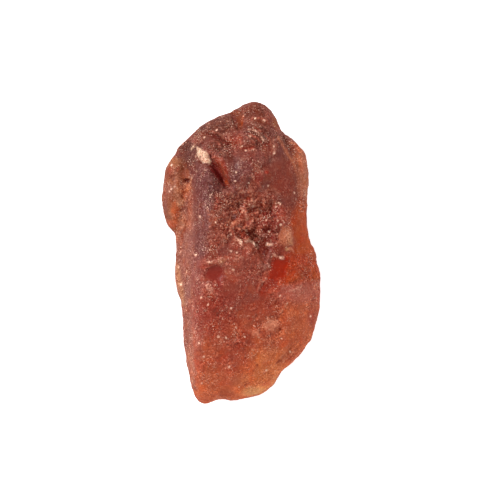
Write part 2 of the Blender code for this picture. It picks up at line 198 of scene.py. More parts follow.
# Lines of the front: points, half-width, height (sunk is negative), colour and its strength.
LINES = (
    (((-2.4, 7.9), (-1.95, 7.8), (-1.5, 7.65), (-1.2, 7.4), (-0.8, 7.15), (-0.55, 7.0)),
     0.13, -0.22, OXBLOOD, 0.9),  # crease below the top, painted dark as shade in the crease
    (((-2.1, 8.05), (-1.8, 7.95), (-1.5, 7.9)), 0.07, 0.04, SALMON, 0.6),
    (((-1.95, 7.35), (-1.6, 7.25), (-1.35, 7.05)), 0.08, 0.04, SALMON, 0.4),
    (((0.05, 6.93), (0.4, 6.9), (0.8, 6.97)), 0.1, -0.08, CRIMSON, 0.7),
    (((0.3, 6.78), (0.6, 6.8), (0.95, 6.86)), 0.07, 0.03, SHELL, 0.7),
    (((-0.55, 9.15), (-0.42, 8.8), (-0.25, 8.35)), 0.12, -0.1, OXBLOOD, 0.9),  # notch's edge
    (((0.12, 9.1), (0.04, 8.75), (-0.02, 8.4)), 0.07, 0.02, SIENNA, 0.6),
    (((0.45, 8.12), (0.85, 8.08), (1.25, 7.78), (1.6, 7.35)), 0.07, 0.05, SHELL, 0.7),  # arcs, their pale crests painted as highlights
    (((0.9, 8.25), (1.35, 8.02), (1.7, 7.7), (1.95, 7.35)), 0.07, 0.04, SALMON, 0.7),
    (((0.5, 7.82), (0.9, 7.68), (1.25, 7.4), (1.5, 7.05)), 0.07, 0.04, SALMON, 0.7),
    (((0.3, 7.72), (0.6, 7.52), (0.88, 7.22)), 0.07, 0.03, SALMON, 0.6),
    (((0.7, 7.98), (1.1, 7.72), (1.42, 7.38)), 0.07, -0.03, BARK, 0.6),
    (((0.42, 7.7), (0.75, 7.55), (1.08, 7.25)), 0.07, -0.03, BARK, 0.6),
    (((0.65, 8.8), (0.9, 8.95), (1.3, 8.95), (1.7, 8.75)), 0.07, 0.04, SALMON, 0.6),
    (((0.75, 8.62), (1.1, 8.68), (1.4, 8.55)), 0.07, -0.05, CHESTNUT, 0.6),
    (((2.2, 7.25), (2.18, 6.9), (2.12, 6.5)), 0.08, 0.04, SHELL, 0.6),  # chipped streak
    (((2.45, 7.65), (3.0, 6.75), (3.35, 6.15), (3.6, 5.6)), 0.09, 0.07, FAWN, 0.85),
    (((3.6, 5.6), (3.78, 4.9), (3.85, 3.9)), 0.12, 0.04, CLAY, 0.85),  # right ridge, its pale lines painted highlights
    (((2.75, 7.75), (3.2, 7.05), (3.6, 6.4), (3.85, 5.6)), 0.1, -0.03, CHESTNUT, 0.5),
    (((1.1, 5.62), (1.28, 5.72)), 0.07, 0.04, SHELL, 0.7),
    (((0.75, 5.35), (0.95, 5.55), (1.25, 5.7)), 0.07, 0.03, SALMON, 0.6),
    (((0.8, 4.95), (1.05, 4.65), (1.3, 4.3)), 0.08, 0.05, SALMON, 0.6),
    (((-0.75, 4.05), (-0.6, 3.9), (-0.5, 3.72)), 0.07, 0.05, SHELL, 0.7),
    (((-0.6, 1.75), (-0.56, 1.35), (-0.42, 1.0)), 0.11, 0.06, SALMON, 0.9),
    (((-0.4, 1.08), (-0.22, 0.92), (-0.1, 0.82)), 0.07, 0.06, SHELL, 0.9),  # hollow's rim, its pale and glinting lines painted highlights
    (((-0.14, 0.84), (0.0, 0.7), (0.08, 0.64)), 0.09, 0.14, GLINT, 1.0),
    (((0.26, 0.83), (0.5, 0.84), (0.74, 0.76), (0.9, 0.6), (1.08, 0.4)), 0.08, 0.15, GLINT, 0.9),
    (((-0.45, 1.5), (0.0, 1.42), (0.45, 1.42)), 0.07, -0.06, CRIMSON, 0.7),
    (((1.0, 2.05), (0.88, 1.6), (0.98, 1.1), (1.15, 0.75)), 0.13, -0.05, OXBLOOD, 0.5),
    (((1.3, 2.1), (1.22, 1.8)), 0.1, -0.04, OXBLOOD, 0.4),
    (((1.42, 0.6), (1.6, 0.2), (1.58, -0.4)), 0.22, -0.08, OXBLOOD, 0.75),
    (((2.65, 1.9), (2.62, 1.6), (2.42, 1.3), (2.35, 0.9)), 0.08, -0.06, OXBLOOD, 0.6),
    # a painted highlight on the crest
    (((1.74, 0.64), (1.88, 0.56), (2.04, 0.58)), 0.08, 0.05, GLINT, 0.9),
    (((0.68, 3.1), (0.8, 3.1), (0.92, 3.12)), 0.07, 0.04, SHELL, 1.0),
    (((0.3, 2.55), (0.34, 2.38), (0.36, 2.22)), 0.1, 0.04, SHELL, 0.9),
    (((-1.65, 3.9), (-1.6, 3.4), (-1.7, 2.8)), 0.09, -0.08, CRIMSON, 0.5),
    (((-1.35, 3.0), (-1.05, 2.75), (-1.0, 2.45)), 0.08, 0.04, SALMON, 0.5),
    (((1.9, 3.7), (1.6, 3.3), (1.45, 2.8)), 0.1, 0.04, RUST, 0.6),
    (((-2.34, -0.56), (-2.1, -0.64), (-1.88, -0.54)), 0.08, 0.06, SHELL, 0.65),  # the ledge, its pale lines painted highlights along its rim
    (((-1.72, -0.46), (-1.45, -0.36), (-1.12, -0.32)), 0.07, 0.06, SHELL, 0.5),
    (((-1.0, -0.3), (-0.72, -0.34), (-0.48, -0.34)), 0.07, 0.05, SALMON, 0.6),
    (((-0.32, -0.2), (-0.1, -0.22), (0.1, -0.3)), 0.07, 0.05, SHELL, 0.5),
    (((-2.75, -0.92), (-2.35, -0.85), (-2.0, -0.78)), 0.07, -0.06, CRIMSON, 0.6),
    (((-1.0, -0.68), (-0.5, -0.8), (0.1, -0.72)), 0.08, 0.04, SALMON, 0.5),
    (((1.98, 0.2), (1.82, -0.2), (1.7, -0.6), (1.52, -0.95)), 0.15, 0.06, TAUPE, 0.4),
    (((1.62, -0.6), (1.78, -0.72), (1.84, -0.92)), 0.07, 0.04, SHELL, 0.7),
    (((1.46, -0.8), (1.6, -0.95), (1.78, -0.98)), 0.07, 0.04, SHELL, 0.7),
    (((2.16, 0.0), (2.2, -0.16), (2.3, -0.3)), 0.07, 0.06, SHELL, 0.9),
    (((2.52, -0.26), (2.72, -0.28)), 0.1, 0.07, GLINT, 1.0),  # glint above the scar
    (((2.4, -0.16), (2.62, -0.1), (2.78, -0.16)), 0.07, -0.05, OXBLOOD, 0.6),
    (((3.18, 0.36), (3.34, 0.28), (3.44, 0.08)), 0.07, 0.06, PEACH, 0.9),  # hooked crest
    (((1.64, -1.76), (1.4, -1.92), (1.26, -2.12), (1.16, -2.34)), 0.07, 0.05, SHELL, 0.7),
    (((1.5, -1.95), (1.3, -2.2), (1.22, -2.5)), 0.08, -0.04, CRIMSON, 0.6),
    (((1.12, -1.95), (1.02, -2.15), (1.0, -2.35)), 0.08, -0.04, CRIMSON, 0.6),
    (((2.05, -0.05), (1.94, -0.5), (1.84, -1.1)), 0.08, -0.07, OXBLOOD, 0.4),
    (((3.78, -0.7), (4.05, -1.0), (4.38, -1.32)), 0.07, 0.04, CLAY, 0.8),  # streaks
    (((4.02, -0.72), (4.3, -0.98), (4.6, -1.22)), 0.07, 0.04, CLAY, 0.8),
    (((3.62, -1.02), (3.92, -1.34), (4.15, -1.66)), 0.07, 0.04, CLAY, 0.7),
    (((4.2, -1.5), (4.45, -1.7), (4.75, -1.85)), 0.07, 0.03, CLAY, 0.6),
    (((3.8, -0.88), (4.08, -1.16), (4.32, -1.44)), 0.07, -0.03, CRIMSON, 0.6),
    (((2.1, -2.15), (3.0, -2.2), (4.1, -1.95), (5.1, -1.95)), 0.1, 0.04, SALMON, 0.5),
    (((3.15, -2.52), (3.45, -2.45), (3.62, -2.36)), 0.08, 0.05, SHELL, 0.7),
    (((3.72, -2.3), (3.92, -2.24), (4.05, -2.12)), 0.07, 0.05, SHELL, 0.7),
    (((2.45, -4.05), (2.75, -3.7), (3.1, -3.25)), 0.08, 0.05, SAND, 0.6),  # pale stroke
    (((-3.62, 2.1), (-3.85, 1.4), (-4.02, 0.7), (-4.05, 0.2)), 0.1, -0.05, GINGER, 0.8),
    (((-3.75, 4.86), (-3.6, 4.8), (-3.46, 4.76)), 0.12, -0.06, OXBLOOD, 0.6),  # hole behind the lobe, painted dark as shade in the hole
    (((-3.5, 4.4), (-3.4, 4.75), (-3.32, 4.95)), 0.07, 0.04, SAND, 0.7),
    (((-3.42, 3.6), (-3.4, 2.6), (-3.4, 1.6)), 0.16, 0.0, CLAY, 0.6),
    (((-4.32, -0.7), (-4.18, -1.6), (-4.0, -2.6), (-3.88, -3.4)), 0.17, 0.0, STRAW, 0.55),
    (((-4.05, 2.0), (-4.25, 1.4), (-4.25, 0.8)), 0.14, 0.0, FAWN, 0.6),
    (((3.65, -6.45), (3.3, -6.65), (2.9, -7.05), (2.6, -7.3)), 0.08, 0.05, SAND, 0.7),
    (((2.6, -7.1), (2.35, -7.3)), 0.09, -0.07, RUST, 0.8),  # lower right edge
    (((1.3, -8.05), (1.6, -7.8), (1.85, -7.7)), 0.07, 0.03, PEACH, 0.6),
    (((1.1, -7.6), (1.5, -7.15), (2.0, -6.95)), 0.08, 0.03, PEACH, 0.3),
    (((-3.3, 6.9), (-3.1, 7.15)), 0.07, 0.06, CREAM, 0.8),  # sliver by the fleck
    (((-2.98, 6.42), (-2.84, 6.18), (-2.58, 5.93)), 0.07, -0.06, OXBLOOD, 0.7),  # its shadow
    (((-2.08, 6.5), (-2.02, 6.25), (-1.84, 6.05)), 0.08, -0.08, OXBLOOD, 0.8),  # groove by the slot
    (((-1.48, 6.25), (-1.3, 5.8), (-1.1, 5.2)), 0.07, 0.04, CLAY, 0.5),  # veins of the red wall
    (((-1.6, 6.15), (-1.42, 5.7), (-1.22, 5.25)), 0.07, -0.03, CRIMSON, 0.6),
    (((-1.12, 5.95), (-0.98, 5.5), (-0.92, 5.0)), 0.08, -0.02, CRIMSON, 0.5),
    (((-1.02, 4.8), (-0.95, 4.6), (-0.86, 4.42)), 0.08, 0.0, SIENNA, 0.8),
)

# Places that are filled up a little: points, half-width and height.
FILLS = (
    (((1.1, 1.6), (1.3, 0.7), (1.6, 0.0), (1.55, -0.8)), 0.5, 0.46),  # the hollow's pit
)
FILLED_HEIGHTS = (GIRDLE_HEIGHT - 0.6, GIRDLE_HEIGHT + 0.4)  # only the front is filled

# Places whose edges are worn soft: points, half-width and how many passes.
SOFTENED = (
    (((-3.7, 6.0), (-3.74, 4.6), (-3.84, 3.2), (-4.0, 1.6)), 0.55, 260),  # behind the lobe
    (((1.0, 1.8), (1.3, 0.7), (1.6, 0.0), (1.55, -1.2)), 0.45, 60),  # the hollow's pit
)
SOFTENED_ABOVE = GIRDLE_HEIGHT - 1.0
WORN_SOFTNESS = 0.7  # of each pass
WEIGHT_STEPS = 10  # in which the softening falls off to the sides

# Broad faces of the front, each with its own colour: corners, softness of the edge, colour and
# its strength.
FACES = (
    (((-3.45, 5.2), (-3.12, 4.4), (-3.02, 1.0), (-3.15, -1.0), (-3.22, -3.5), (-3.15, -6.5),
      (-3.0, -9.0), (-3.6, -9.8), (-4.8, -6.0), (-5.0, 0.0), (-4.2, 1.6), (-3.8, 3.0)),
     0.16, ROSE, 0.9),  # left flank
    (((-4.6, 6.9), (-3.6, 8.0), (-2.9, 7.6), (-2.6, 6.9), (-2.0, 5.9), (-1.2, 4.5),
      (-1.6, 3.6), (-2.0, 2.6), (-2.3, 1.0), (-2.5, -0.3), (-3.05, -0.5), (-3.02, 1.0),
      (-3.12, 4.4), (-3.5, 5.4), (-4.0, 6.2)), 0.28, MAUVE_SHEEN, 0.85),  # painted sheen by the slot, the mauve haze of light reflected off the frosted face
    (((-3.4, 8.0), (-2.3, 9.2), (-0.5, 9.9), (-0.3, 8.4), (-1.2, 7.7), (-2.6, 7.5)),
     0.25, UMBER, 0.9),  # slanting top
    (((-0.4, 9.9), (1.0, 10.6), (2.4, 9.6), (2.9, 7.9), (2.2, 8.4), (1.6, 8.4),
      (0.3, 8.9), (-0.2, 8.8)), 0.25, CHESTNUT, 0.9),  # knob
    (((1.4, 5.9), (3.4, 6.2), (3.7, 5.0), (3.9, 3.2), (3.2, 3.0), (2.4, 3.9),
      (1.8, 4.6)), 0.25, MAHOGANY, 0.85),  # smooth upper right
    (((3.2, 7.4), (4.2, 7.2), (4.8, 6.0), (4.8, 3.0), (4.0, 3.0), (3.9, 4.5),
      (3.72, 5.6), (3.4, 6.3)), 0.08, FAWN, 0.8),  # right shoulder
    (((3.85, 3.6), (4.6, 3.3), (4.9, 1.0), (5.2, -0.2), (3.2, -0.2), (3.5, 0.7),
      (3.25, 1.9), (3.45, 2.6)), 0.3, SIENNA, 0.9),  # right of the waist
    (((-3.85, 6.4), (-5.6, 6.2), (-5.6, 1.4), (-4.2, 1.4), (-4.05, 2.6), (-3.85, 3.6),
      (-3.3, 4.3), (-3.5, 5.5)), 0.12, NUTMEG, 0.9),  # lobe
    (((3.0, -0.2), (5.4, -0.2), (5.5, -1.8), (3.9, -1.9), (2.6, -2.1), (1.9, -2.3),
      (2.6, -1.7)), 0.3, SIENNA, 0.75),  # right of the scar
    (((1.9, -2.3), (3.9, -2.0), (5.6, -1.9), (5.6, -3.3), (4.4, -3.3), (2.6, -3.2)),
     0.25, SALMON, 0.8),  # pink band
    (((3.0, -3.3), (5.6, -3.3), (5.4, -5.0), (3.8, -7.4), (2.6, -6.6), (2.6, -4.6)),
     0.4, AMBER, 0.8),  # right flank
    (((0.6, -6.4), (2.6, -6.4), (3.4, -7.4), (2.2, -9.4), (0.0, -10.0), (-0.4, -8.9),
      (0.6, -7.6)), 0.45, ORANGE, 0.85),  # lower right
)

# Plates of the front: corners, softness of the edge, height, colour, strength, smoothness.
PLATES = (
    (((-2.06, 6.05), (-1.78, 6.1), (-1.44, 5.52), (-1.18, 5.1), (-0.96, 4.72), (-0.93, 4.4),
      (-1.22, 4.42), (-1.5, 4.82), (-1.84, 5.22), (-2.05, 5.6)),
     0.08, 0.0, MAROON, 0.95, 0.5),  # dark wall of the slot, its dark colour painted shade
    (((-1.85, 6.35), (-1.3, 6.3), (-1.0, 5.7), (-0.8, 4.95), (-0.8, 4.5), (-0.96, 4.42),
      (-1.18, 5.12), (-1.46, 5.54), (-1.76, 6.02)),
     0.12, 0.0, VERMILION, 0.72, 0.1),  # its red wall, its red colour painted lighter as the lit side
    (((-2.92, 6.8), (-2.95, 7.08), (-2.75, 7.02), (-2.58, 6.76), (-2.3, 6.66), (-2.14, 6.45),
      (-2.14, 6.2), (-1.92, 5.98), (-2.06, 5.86), (-2.22, 5.98), (-2.52, 5.98), (-2.78, 6.26),
      (-2.9, 6.48)), 0.06, 0.12, CREAM, 0.74, 0.0),  # pale fleck
    (((-2.75, 6.6), (-2.5, 6.55), (-2.3, 6.3), (-2.35, 6.05), (-2.55, 6.08), (-2.8, 6.35)),
     0.12, 0.0, GLINT, 0.4, 0.0),  # its whitest part
    (((-1.0, 7.45), (-0.55, 7.6), (0.05, 7.7), (0.1, 7.2), (-0.2, 7.0), (-0.8, 7.2)),
     0.16, 0.0, VERMILION, 0.7, 0.0),
    (((-0.75, 9.35), (-0.1, 9.45), (0.12, 9.1), (0.08, 8.6), (0.02, 8.15), (-0.22, 8.1),
      (-0.36, 8.5), (-0.62, 8.9)), 0.14, -0.14, COPPER, 0.85, 0.2),  # notch of the top
    (((1.4, 9.95), (2.1, 9.5), (2.45, 8.6), (2.1, 8.6), (1.8, 9.2), (1.3, 9.6)),
     0.2, 0.0, RUST, 0.3, 0.6),  # smooth side of the knob
    (((2.1, 8.95), (2.35, 8.9), (2.45, 8.4), (2.25, 8.25), (2.1, 8.5)),
     0.14, -0.02, OCHRE, 0.7, 0.3),
    (((2.5, 7.8), (3.25, 7.35), (3.65, 6.75), (3.25, 6.7), (2.7, 7.35)),
     0.15, -0.04, CHESTNUT, 0.6, 0.3),
    (((3.7, 6.4), (4.05, 6.3), (4.2, 5.7), (4.05, 5.2), (3.85, 5.6)),
     0.16, 0.0, AMBER, 0.7, 0.2),
    (((0.9, 5.3), (1.3, 5.3), (1.5, 4.8), (1.1, 4.4), (0.9, 4.7)),
     0.14, 0.0, GARNET, 0.7, 0.2),
    (((-0.9, 2.14), (-0.28, 2.14), (-0.44, 1.85), (-0.48, 1.62), (-0.66, 1.66), (-0.72, 1.9)),
     0.06, 0.06, PEACH, 0.88, 0.5),
    (((-0.32, 1.42), (0.42, 1.5), (0.5, 1.15), (0.12, 0.98), (-0.25, 1.12)),
     0.12, -0.04, EMBER, 0.55, 0.2),  # red window of the hollow
    (((2.05, 3.2), (2.75, 3.1), (3.05, 2.6), (2.7, 2.25), (2.1, 2.45)),
     0.2, 0.0, CRIMSON, 0.55, 0.2),
    (((1.3, 2.9), (2.3, 2.9), (2.5, 1.9), (2.4, 0.8), (1.85, -0.1), (1.1, 0.0),
      (0.95, 0.9), (1.2, 1.6)), 0.3, 0.0, MAROON, 0.55, 0.0),  # its dark red side
    (((0.05, 0.62), (0.8, 0.7), (0.9, 0.3), (0.6, 0.15), (0.1, 0.3)),
     0.1, 0.04, SALMON, 0.7, 0.5),
    (((1.2, 1.4), (1.6, 1.35), (1.6, 1.0), (1.25, 0.95)), 0.1, 0.06, ROSE, 0.7, 0.4),
    (((2.1, -0.2), (3.1, -0.05), (4.3, -0.1), (4.6, -0.6), (3.9, -1.3), (3.1, -1.8),
      (2.5, -2.3), (1.5, -2.85), (1.15, -2.5), (1.5, -1.8)),
     0.3, 0.0, GLOW, 0.7, 0.2),  # red glow round the scar
    (((2.02, -0.7), (2.12, -0.38), (2.5, -0.34), (2.78, -0.34), (2.96, -0.14), (3.18, -0.28),
      (3.16, -0.85), (2.96, -1.22), (2.88, -1.52), (2.55, -1.72), (2.15, -1.88), (1.8, -1.72),
      (1.86, -1.4), (1.94, -1.05)),
     0.15, -0.05, EMBER, 1.0, 0.9),  # clear red scar
    (((1.86, -1.72), (2.4, -1.78), (2.42, -2.18), (1.95, -2.3), (1.62, -2.58), (1.28, -2.78),
      (1.24, -2.45), (1.42, -1.98)),
     0.1, -0.03, CRIMSON, 0.9, 0.6),
    (((-2.45, -1.4), (-2.1, -1.0), (-1.65, -0.85), (-1.2, -0.9), (-1.15, -1.4),
      (-1.25, -1.85), (-1.3, -2.2), (-1.55, -2.35), (-1.7, -1.85), (-2.1, -1.7)),
     0.14, -0.07, GARNET, 0.95, 0.9),  # smooth dimple
    (((-2.35, -2.05), (-2.1, -1.95), (-1.85, -2.4), (-1.9, -2.65), (-2.15, -2.5)),
     0.1, 0.04, SHELL, 0.45, 0.0),
    (((-1.5, -0.45), (-1.1, -0.42), (-1.15, -0.66), (-1.42, -0.68)), 0.1, 0.03, STRAW, 0.35, 0.0),
    (((2.45, 1.3), (2.7, 1.75), (3.15, 1.75), (3.45, 1.05), (3.4, 0.5), (3.05, 0.42),
      (2.55, 0.6)), 0.16, 0.05, FAWN, 0.75, 0.0),
    (((2.85, 1.3), (3.15, 1.5), (3.4, 1.05), (3.2, 0.8)), 0.14, 0.03, BUFF, 0.3, 0.0),
    (((3.1, 0.9), (3.4, 0.9), (3.4, 0.62), (3.15, 0.6)), 0.1, 0.02, STRAW, 0.45, 0.1),
    (((1.45, -4.6), (1.8, -4.3), (2.3, -4.35), (2.5, -4.7), (2.35, -4.95), (1.95, -5.15),
      (1.5, -5.0)), 0.16, 0.04, PEACH, 0.88, 0.4),  # pale chips
    (((0.6, -5.1), (1.15, -5.05), (1.25, -5.4), (0.8, -5.5)), 0.14, 0.03, PEACH, 0.75, 0.3),
)

# Smaller patches of colour: centre, half-sizes, turn, colour, strength.
DABS = (
    ((-2.3, 3.4), (0.6, 0.6), 0, DUSK, 0.6),
    ((-2.4, 4.9), (0.9, 1.2), 0, DUSK, 0.85),  # darkest part of the painted sheen
    ((-3.3, 6.6), (0.8, 0.9), 20, PLUM, 0.8),
    ((-3.8, 7.2), (0.6, 0.5), 40, SOOT, 0.85),
    ((-2.6, 0.6), (0.5, 0.9), 0, MAUVE_SHEEN, 0.7),
    ((-2.95, -1.5), (0.4, 1.9), 0, MAUVE, 0.6),  # the left ridge, with a painted mauve sheen
    ((-2.8, -5.0), (0.35, 1.9), 0, MAUVE, 0.35),
    ((-0.3, 5.2), (0.5, 0.9), 0, HEATHER, 0.85),  # between slot and crumbs
    ((-1.1, 6.5), (0.6, 0.35), -30, BARK, 0.8),
    ((0.5, 5.5), (0.4, 0.7), 0, MAUVE, 0.7),
    ((-1.4, 3.9), (0.5, 0.4), 0, HEATHER, 0.7),
    ((0.8, 6.6), (0.8, 0.5), 0, COCOA, 0.7),
    ((1.9, 7.1), (0.5, 0.5), 0, MAHOGANY, 0.7),
    ((1.0, 8.0), (1.0, 0.7), -35, SOOT, 0.7),
    ((-2.6, 8.0), (0.6, 0.4), 35, SOOT, 0.8),
    ((1.9, 8.9), (0.4, 0.5), 20, MAHOGANY, 0.8),
    ((-1.6, 7.1), (0.7, 0.4), 0, UMBER, 0.7),
    ((2.3, 8.5), (0.2, 0.5), 20, RUST, 0.6),
    ((3.4, 6.9), (0.4, 0.3), -40, COCOA, 0.6),
    ((4.15, 3.5), (0.15, 0.7), 0, ROSE, 0.6),
    ((-4.5, 6.0), (0.4, 0.35), 0, TAN, 0.6),  # lobe
    ((-4.7, 5.3), (0.4, 0.4), 0, CHESTNUT, 0.8),
    ((-5.1, 3.8), (0.2, 1.3), 0, COCOA, 0.7),
    ((-4.8, 4.2), (0.3, 0.4), 0, ROSE, 0.6),
    ((-3.7, 5.1), (0.3, 0.5), 0, CLAY, 0.6),
    ((-3.7, 4.1), (0.3, 0.6), 0, SAND, 0.6),
    ((-4.35, 2.8), (0.3, 0.7), 0, AMBER, 0.8),
    ((-4.0, 3.35), (0.28, 0.35), 0, BUFF, 0.7),
    ((-4.5, 2.0), (0.4, 0.3), 0, AMBER, 0.8),
    ((-3.4, -7.6), (0.3, 1.4), 0, SAND, 0.35),  # lower flank
    ((4.8, -4.2), (0.4, 0.9), 0, RUSSET, 0.6),
    ((0.3, 2.6), (0.8, 0.8), 0, SALMON, 0.65),  # crumbled hollow
    ((1.5, 3.6), (0.7, 0.5), 0, SALMON, 0.35),
    ((1.45, 0.5), (0.5, 0.7), 0, OXBLOOD, 0.9),
    ((2.0, 1.9), (0.8, 0.9), 0, CRIMSON, 0.75),
    ((-1.2, 2.9), (0.6, 0.6), 0, BARK, 0.4),
    ((-1.5, -2.3), (0.3, 0.3), 0, GARNET, 0.6),
    ((1.9, 2.7), (0.7, 0.8), 0, RUSSET, 0.6),
    ((-1.3, 1.5), (0.5, 0.6), 0, BRICK, 0.5),
    ((-0.1, -2.6), (1.2, 0.9), 0, BRICK, 0.5),  # smooth middle
    ((1.4, -3.6), (0.8, 0.5), 0, VERMILION, 0.6),
    ((-1.6, -4.2), (1.3, 1.4), 0, GARNET, 0.45),
    ((-1.0, -2.9), (1.0, 0.5), 0, GARNET, 0.35),
    ((1.0, -9.1), (1.0, 0.35), 10, GOLD, 0.85),  # lower edge
    ((2.2, -8.5), (0.3, 0.3), 40, GOLD, 0.45),
    ((-1.0, -9.3), (0.5, 0.3), 0, GINGER, 0.6),
    ((-0.9, -7.3), (1.1, 0.8), 0, GARNET, 0.4),
    ((0.4, 1.3), (0.4, 0.35), 0, SALMON, 0.65),  # the pit's floor, painted lighter against the pit's shade
    ((1.9, 1.4), (0.9, 1.6), 15, OXBLOOD, 0.42),  # dusky right side of the hollow
    ((-0.2, -6.4), (1.4, 0.9), 0, GARNET, 0.42),  # bulge of the lower front
    ((-2.6, 7.4), (0.5, 0.5), 30, SOOT, 0.5),  # left of the crease
    ((0.1, 8.8), (0.7, 0.6), 0, SOOT, 0.35),  # knob, by the notch
    ((-4.2, 4.4), (0.3, 0.9), 0, SAND, 0.45),  # middle of the lobe
    ((-3.9, 2.1), (0.3, 0.7), 0, SAND, 0.5),  # slope below it
)
DAB_EDGE = (0.5, 1.35)  # they fade out between these shares of their size
DAB_WAVER = ((0.8, 0.2), (0.28, 0.14))  # noise that strays the patches' edges

# The base colour turns with x and y from dusky to orange, in steps.
BASE_TURN = (0.035, -0.09)
BASE_STEPS = ((-0.55, COCOA), (-0.25, COCOA), (0.0, BRICK), (0.3, RUSSET), (0.75, AMBER))

# Blotches all over: tone and wavelength, and the part of their noise that is used.
BLOTCHES = (
    ((0.86, 0.86, 0.94), 1.6),  # duskier
    ((1.03, 0.86, 0.82), 0.9),  # redder
    ((1.1, 1.2, 1.22), 0.7),  # paler
    ((1.1, 1.02, 0.84), 0.5),  # warmer
)
BLOTCH_RANGE = (0.0, 0.7)

# Places where the frost is coarse, its grains painted pale as sparkle: centre, half-sizes, turn,
# colour, strength.
PALE_FROST = (
    ((-2.5, 3.0), (0.7, 2.0), 0, TAUPE, 0.65),
    ((-2.6, 0.6), (0.5, 1.0), 0, TAUPE, 0.7),
    ((-2.4, 5.2), (0.8, 1.2), 0, TAUPE, 0.45),
    ((-0.4, 4.8), (0.6, 0.9), 0, TAUPE, 0.4),
    ((0.3, 5.4), (0.5, 0.6), 0, TAUPE, 0.3),
    ((1.3, 8.0), (1.0, 1.0), 0, SALMON, 0.25),
    ((-1.9, 8.3), (1.2, 0.5), 25, ROSE, 0.25),
    ((-2.9, -1.8), (0.4, 1.6), 0, ROSE, 0.6),
    ((-2.7, -5.4), (0.6, 1.2), 0, SHELL, 0.5),
    ((-1.5, -5.8), (1.4, 0.35), 0, SHELL, 0.6),
    ((-0.5, -1.3), (0.5, 0.4), 0, SHELL, 0.6),
    ((0.3, 2.5), (1.2, 1.4), 0, SHELL, 0.4),
    ((-0.6, 0.1), (0.6, 0.2), 0, SHELL, 0.6),
    ((-1.5, 1.0), (0.5, 0.6), 0, SALMON, 0.6),
    ((3.6, -2.5), (1.0, 0.4), 5, SHELL, 0.3),
    ((3.5, -5.9), (0.5, 0.4), 40, SAND, 0.4),
    ((-4.5, 5.0), (0.5, 1.1), 0, SAND, 0.4),
)
FLECK_SIZE = 0.13  # of the pale flecks of the coarse frost
FLECK_TILT = (0.05, 0.55)  # how high a fleck's facet is before it is painted pale
FLECK_WAVER = (0.6, 0.25)  # wavelength and reach of the noise that strays the places' edges
FLECK_EDGE = (0.4, 1.3)

# Places that are worn smoother: centre, half-sizes, turn, how smooth.
CALM = (
    ((2.6, 4.9), (1.4, 1.9), 0, 0.6),  # upper right
    ((4.05, 5.2), (0.45, 1.4), 0, 0.5),  # right shoulder
    ((3.9, 1.2), (0.8, 1.7), 0, 0.65),  # right of the waist
    ((0.4, -2.8), (2.0, 1.3), 0, 0.35),  # middle
    ((4.1, -2.6), (1.2, 0.5), 0, 0.5),  # pink band
    ((3.7, -4.9), (1.2, 1.6), 0, 0.5),  # right flank
    ((-0.8, -1.35), (0.6, 0.6), 0, 0.35),
    ((1.0, 3.9), (0.9, 0.35), 20, 0.5),
    ((2.0, -7.2), (1.8, 1.6), 0, 0.5),  # lower right
    ((0.2, -8.9), (2.6, 0.9), 0, 0.45),
    ((-2.6, -9.0), (0.8, 0.7), 0, 0.45),
    ((-1.2, -7.7), (1.7, 1.6), 0, 0.35),  # lower left
    ((-4.6, 3.6), (0.6, 2.2), 0, 0.5),  # lobe
)
CALM_EDGE = (0.6, 1.2)
SMOOTHED_RELIEF = 0.9  # how much of its relief a wholly smooth place loses
RIM_PAINTED_SHADE = 0.40  # the stone's rim is painted a little darker, as shade where its surface turns away

# Small single spots of the front: place, radius, height, colour.
SPOTS = (
    # the first is painted shade in the hole behind the lobe
    ((-3.6, 4.8), 0.18, -0.12, OXBLOOD), ((-4.7, 5.45), 0.22, -0.04, RUST),
    ((2.55, -5.0), 0.12, -0.07, GLOW), ((0.15, -5.25), 0.09, -0.05, CRIMSON),
    ((-1.5, -4.1), 0.12, -0.05, GARNET), ((1.05, -7.4), 0.1, -0.05, RUST),
    ((0.35, -8.7), 0.08, -0.05, RUST), ((1.68, 5.35), 0.15, 0.0, EMBER),
    ((3.2, 0.28), 0.12, 0.07, SAND), ((0.35, 2.38), 0.13, 0.05, SHELL),
    ((-0.45, 2.42), 0.16, 0.05, TAUPE), ((-2.6, 7.32), 0.13, -0.08, OXBLOOD),
    ((-2.72, 6.37), 0.07, -0.05, UMBER), ((3.05, 0.28), 0.13, 0.03, STRAW),
    ((1.65, -1.66), 0.1, 0.05, SHELL), ((1.48, -1.6), 0.08, 0.04, SALMON),
    ((-2.6, 8.0), 0.12, -0.06, CHESTNUT), ((-3.4, 7.45), 0.1, -0.05, OXBLOOD),
    ((0.15, 0.72), 0.09, -0.02, EMBER), ((2.35, 0.9), 0.1, -0.06, OXBLOOD),
    ((-3.92, 3.12), 0.08, -0.05, RUST), ((-4.25, 5.6), 0.13, -0.05, RUST),
    ((-0.6, -7.05), 0.1, -0.05, RUST), ((-2.4, -3.7), 0.14, 0.03, ROSE),
    ((2.0, -5.35), 0.12, -0.05, RUST), ((1.25, -5.25), 0.11, -0.05, RUST),
    ((1.9, -3.5), 0.14, -0.04, CRIMSON), ((0.6, -4.3), 0.12, -0.04, GARNET),
)
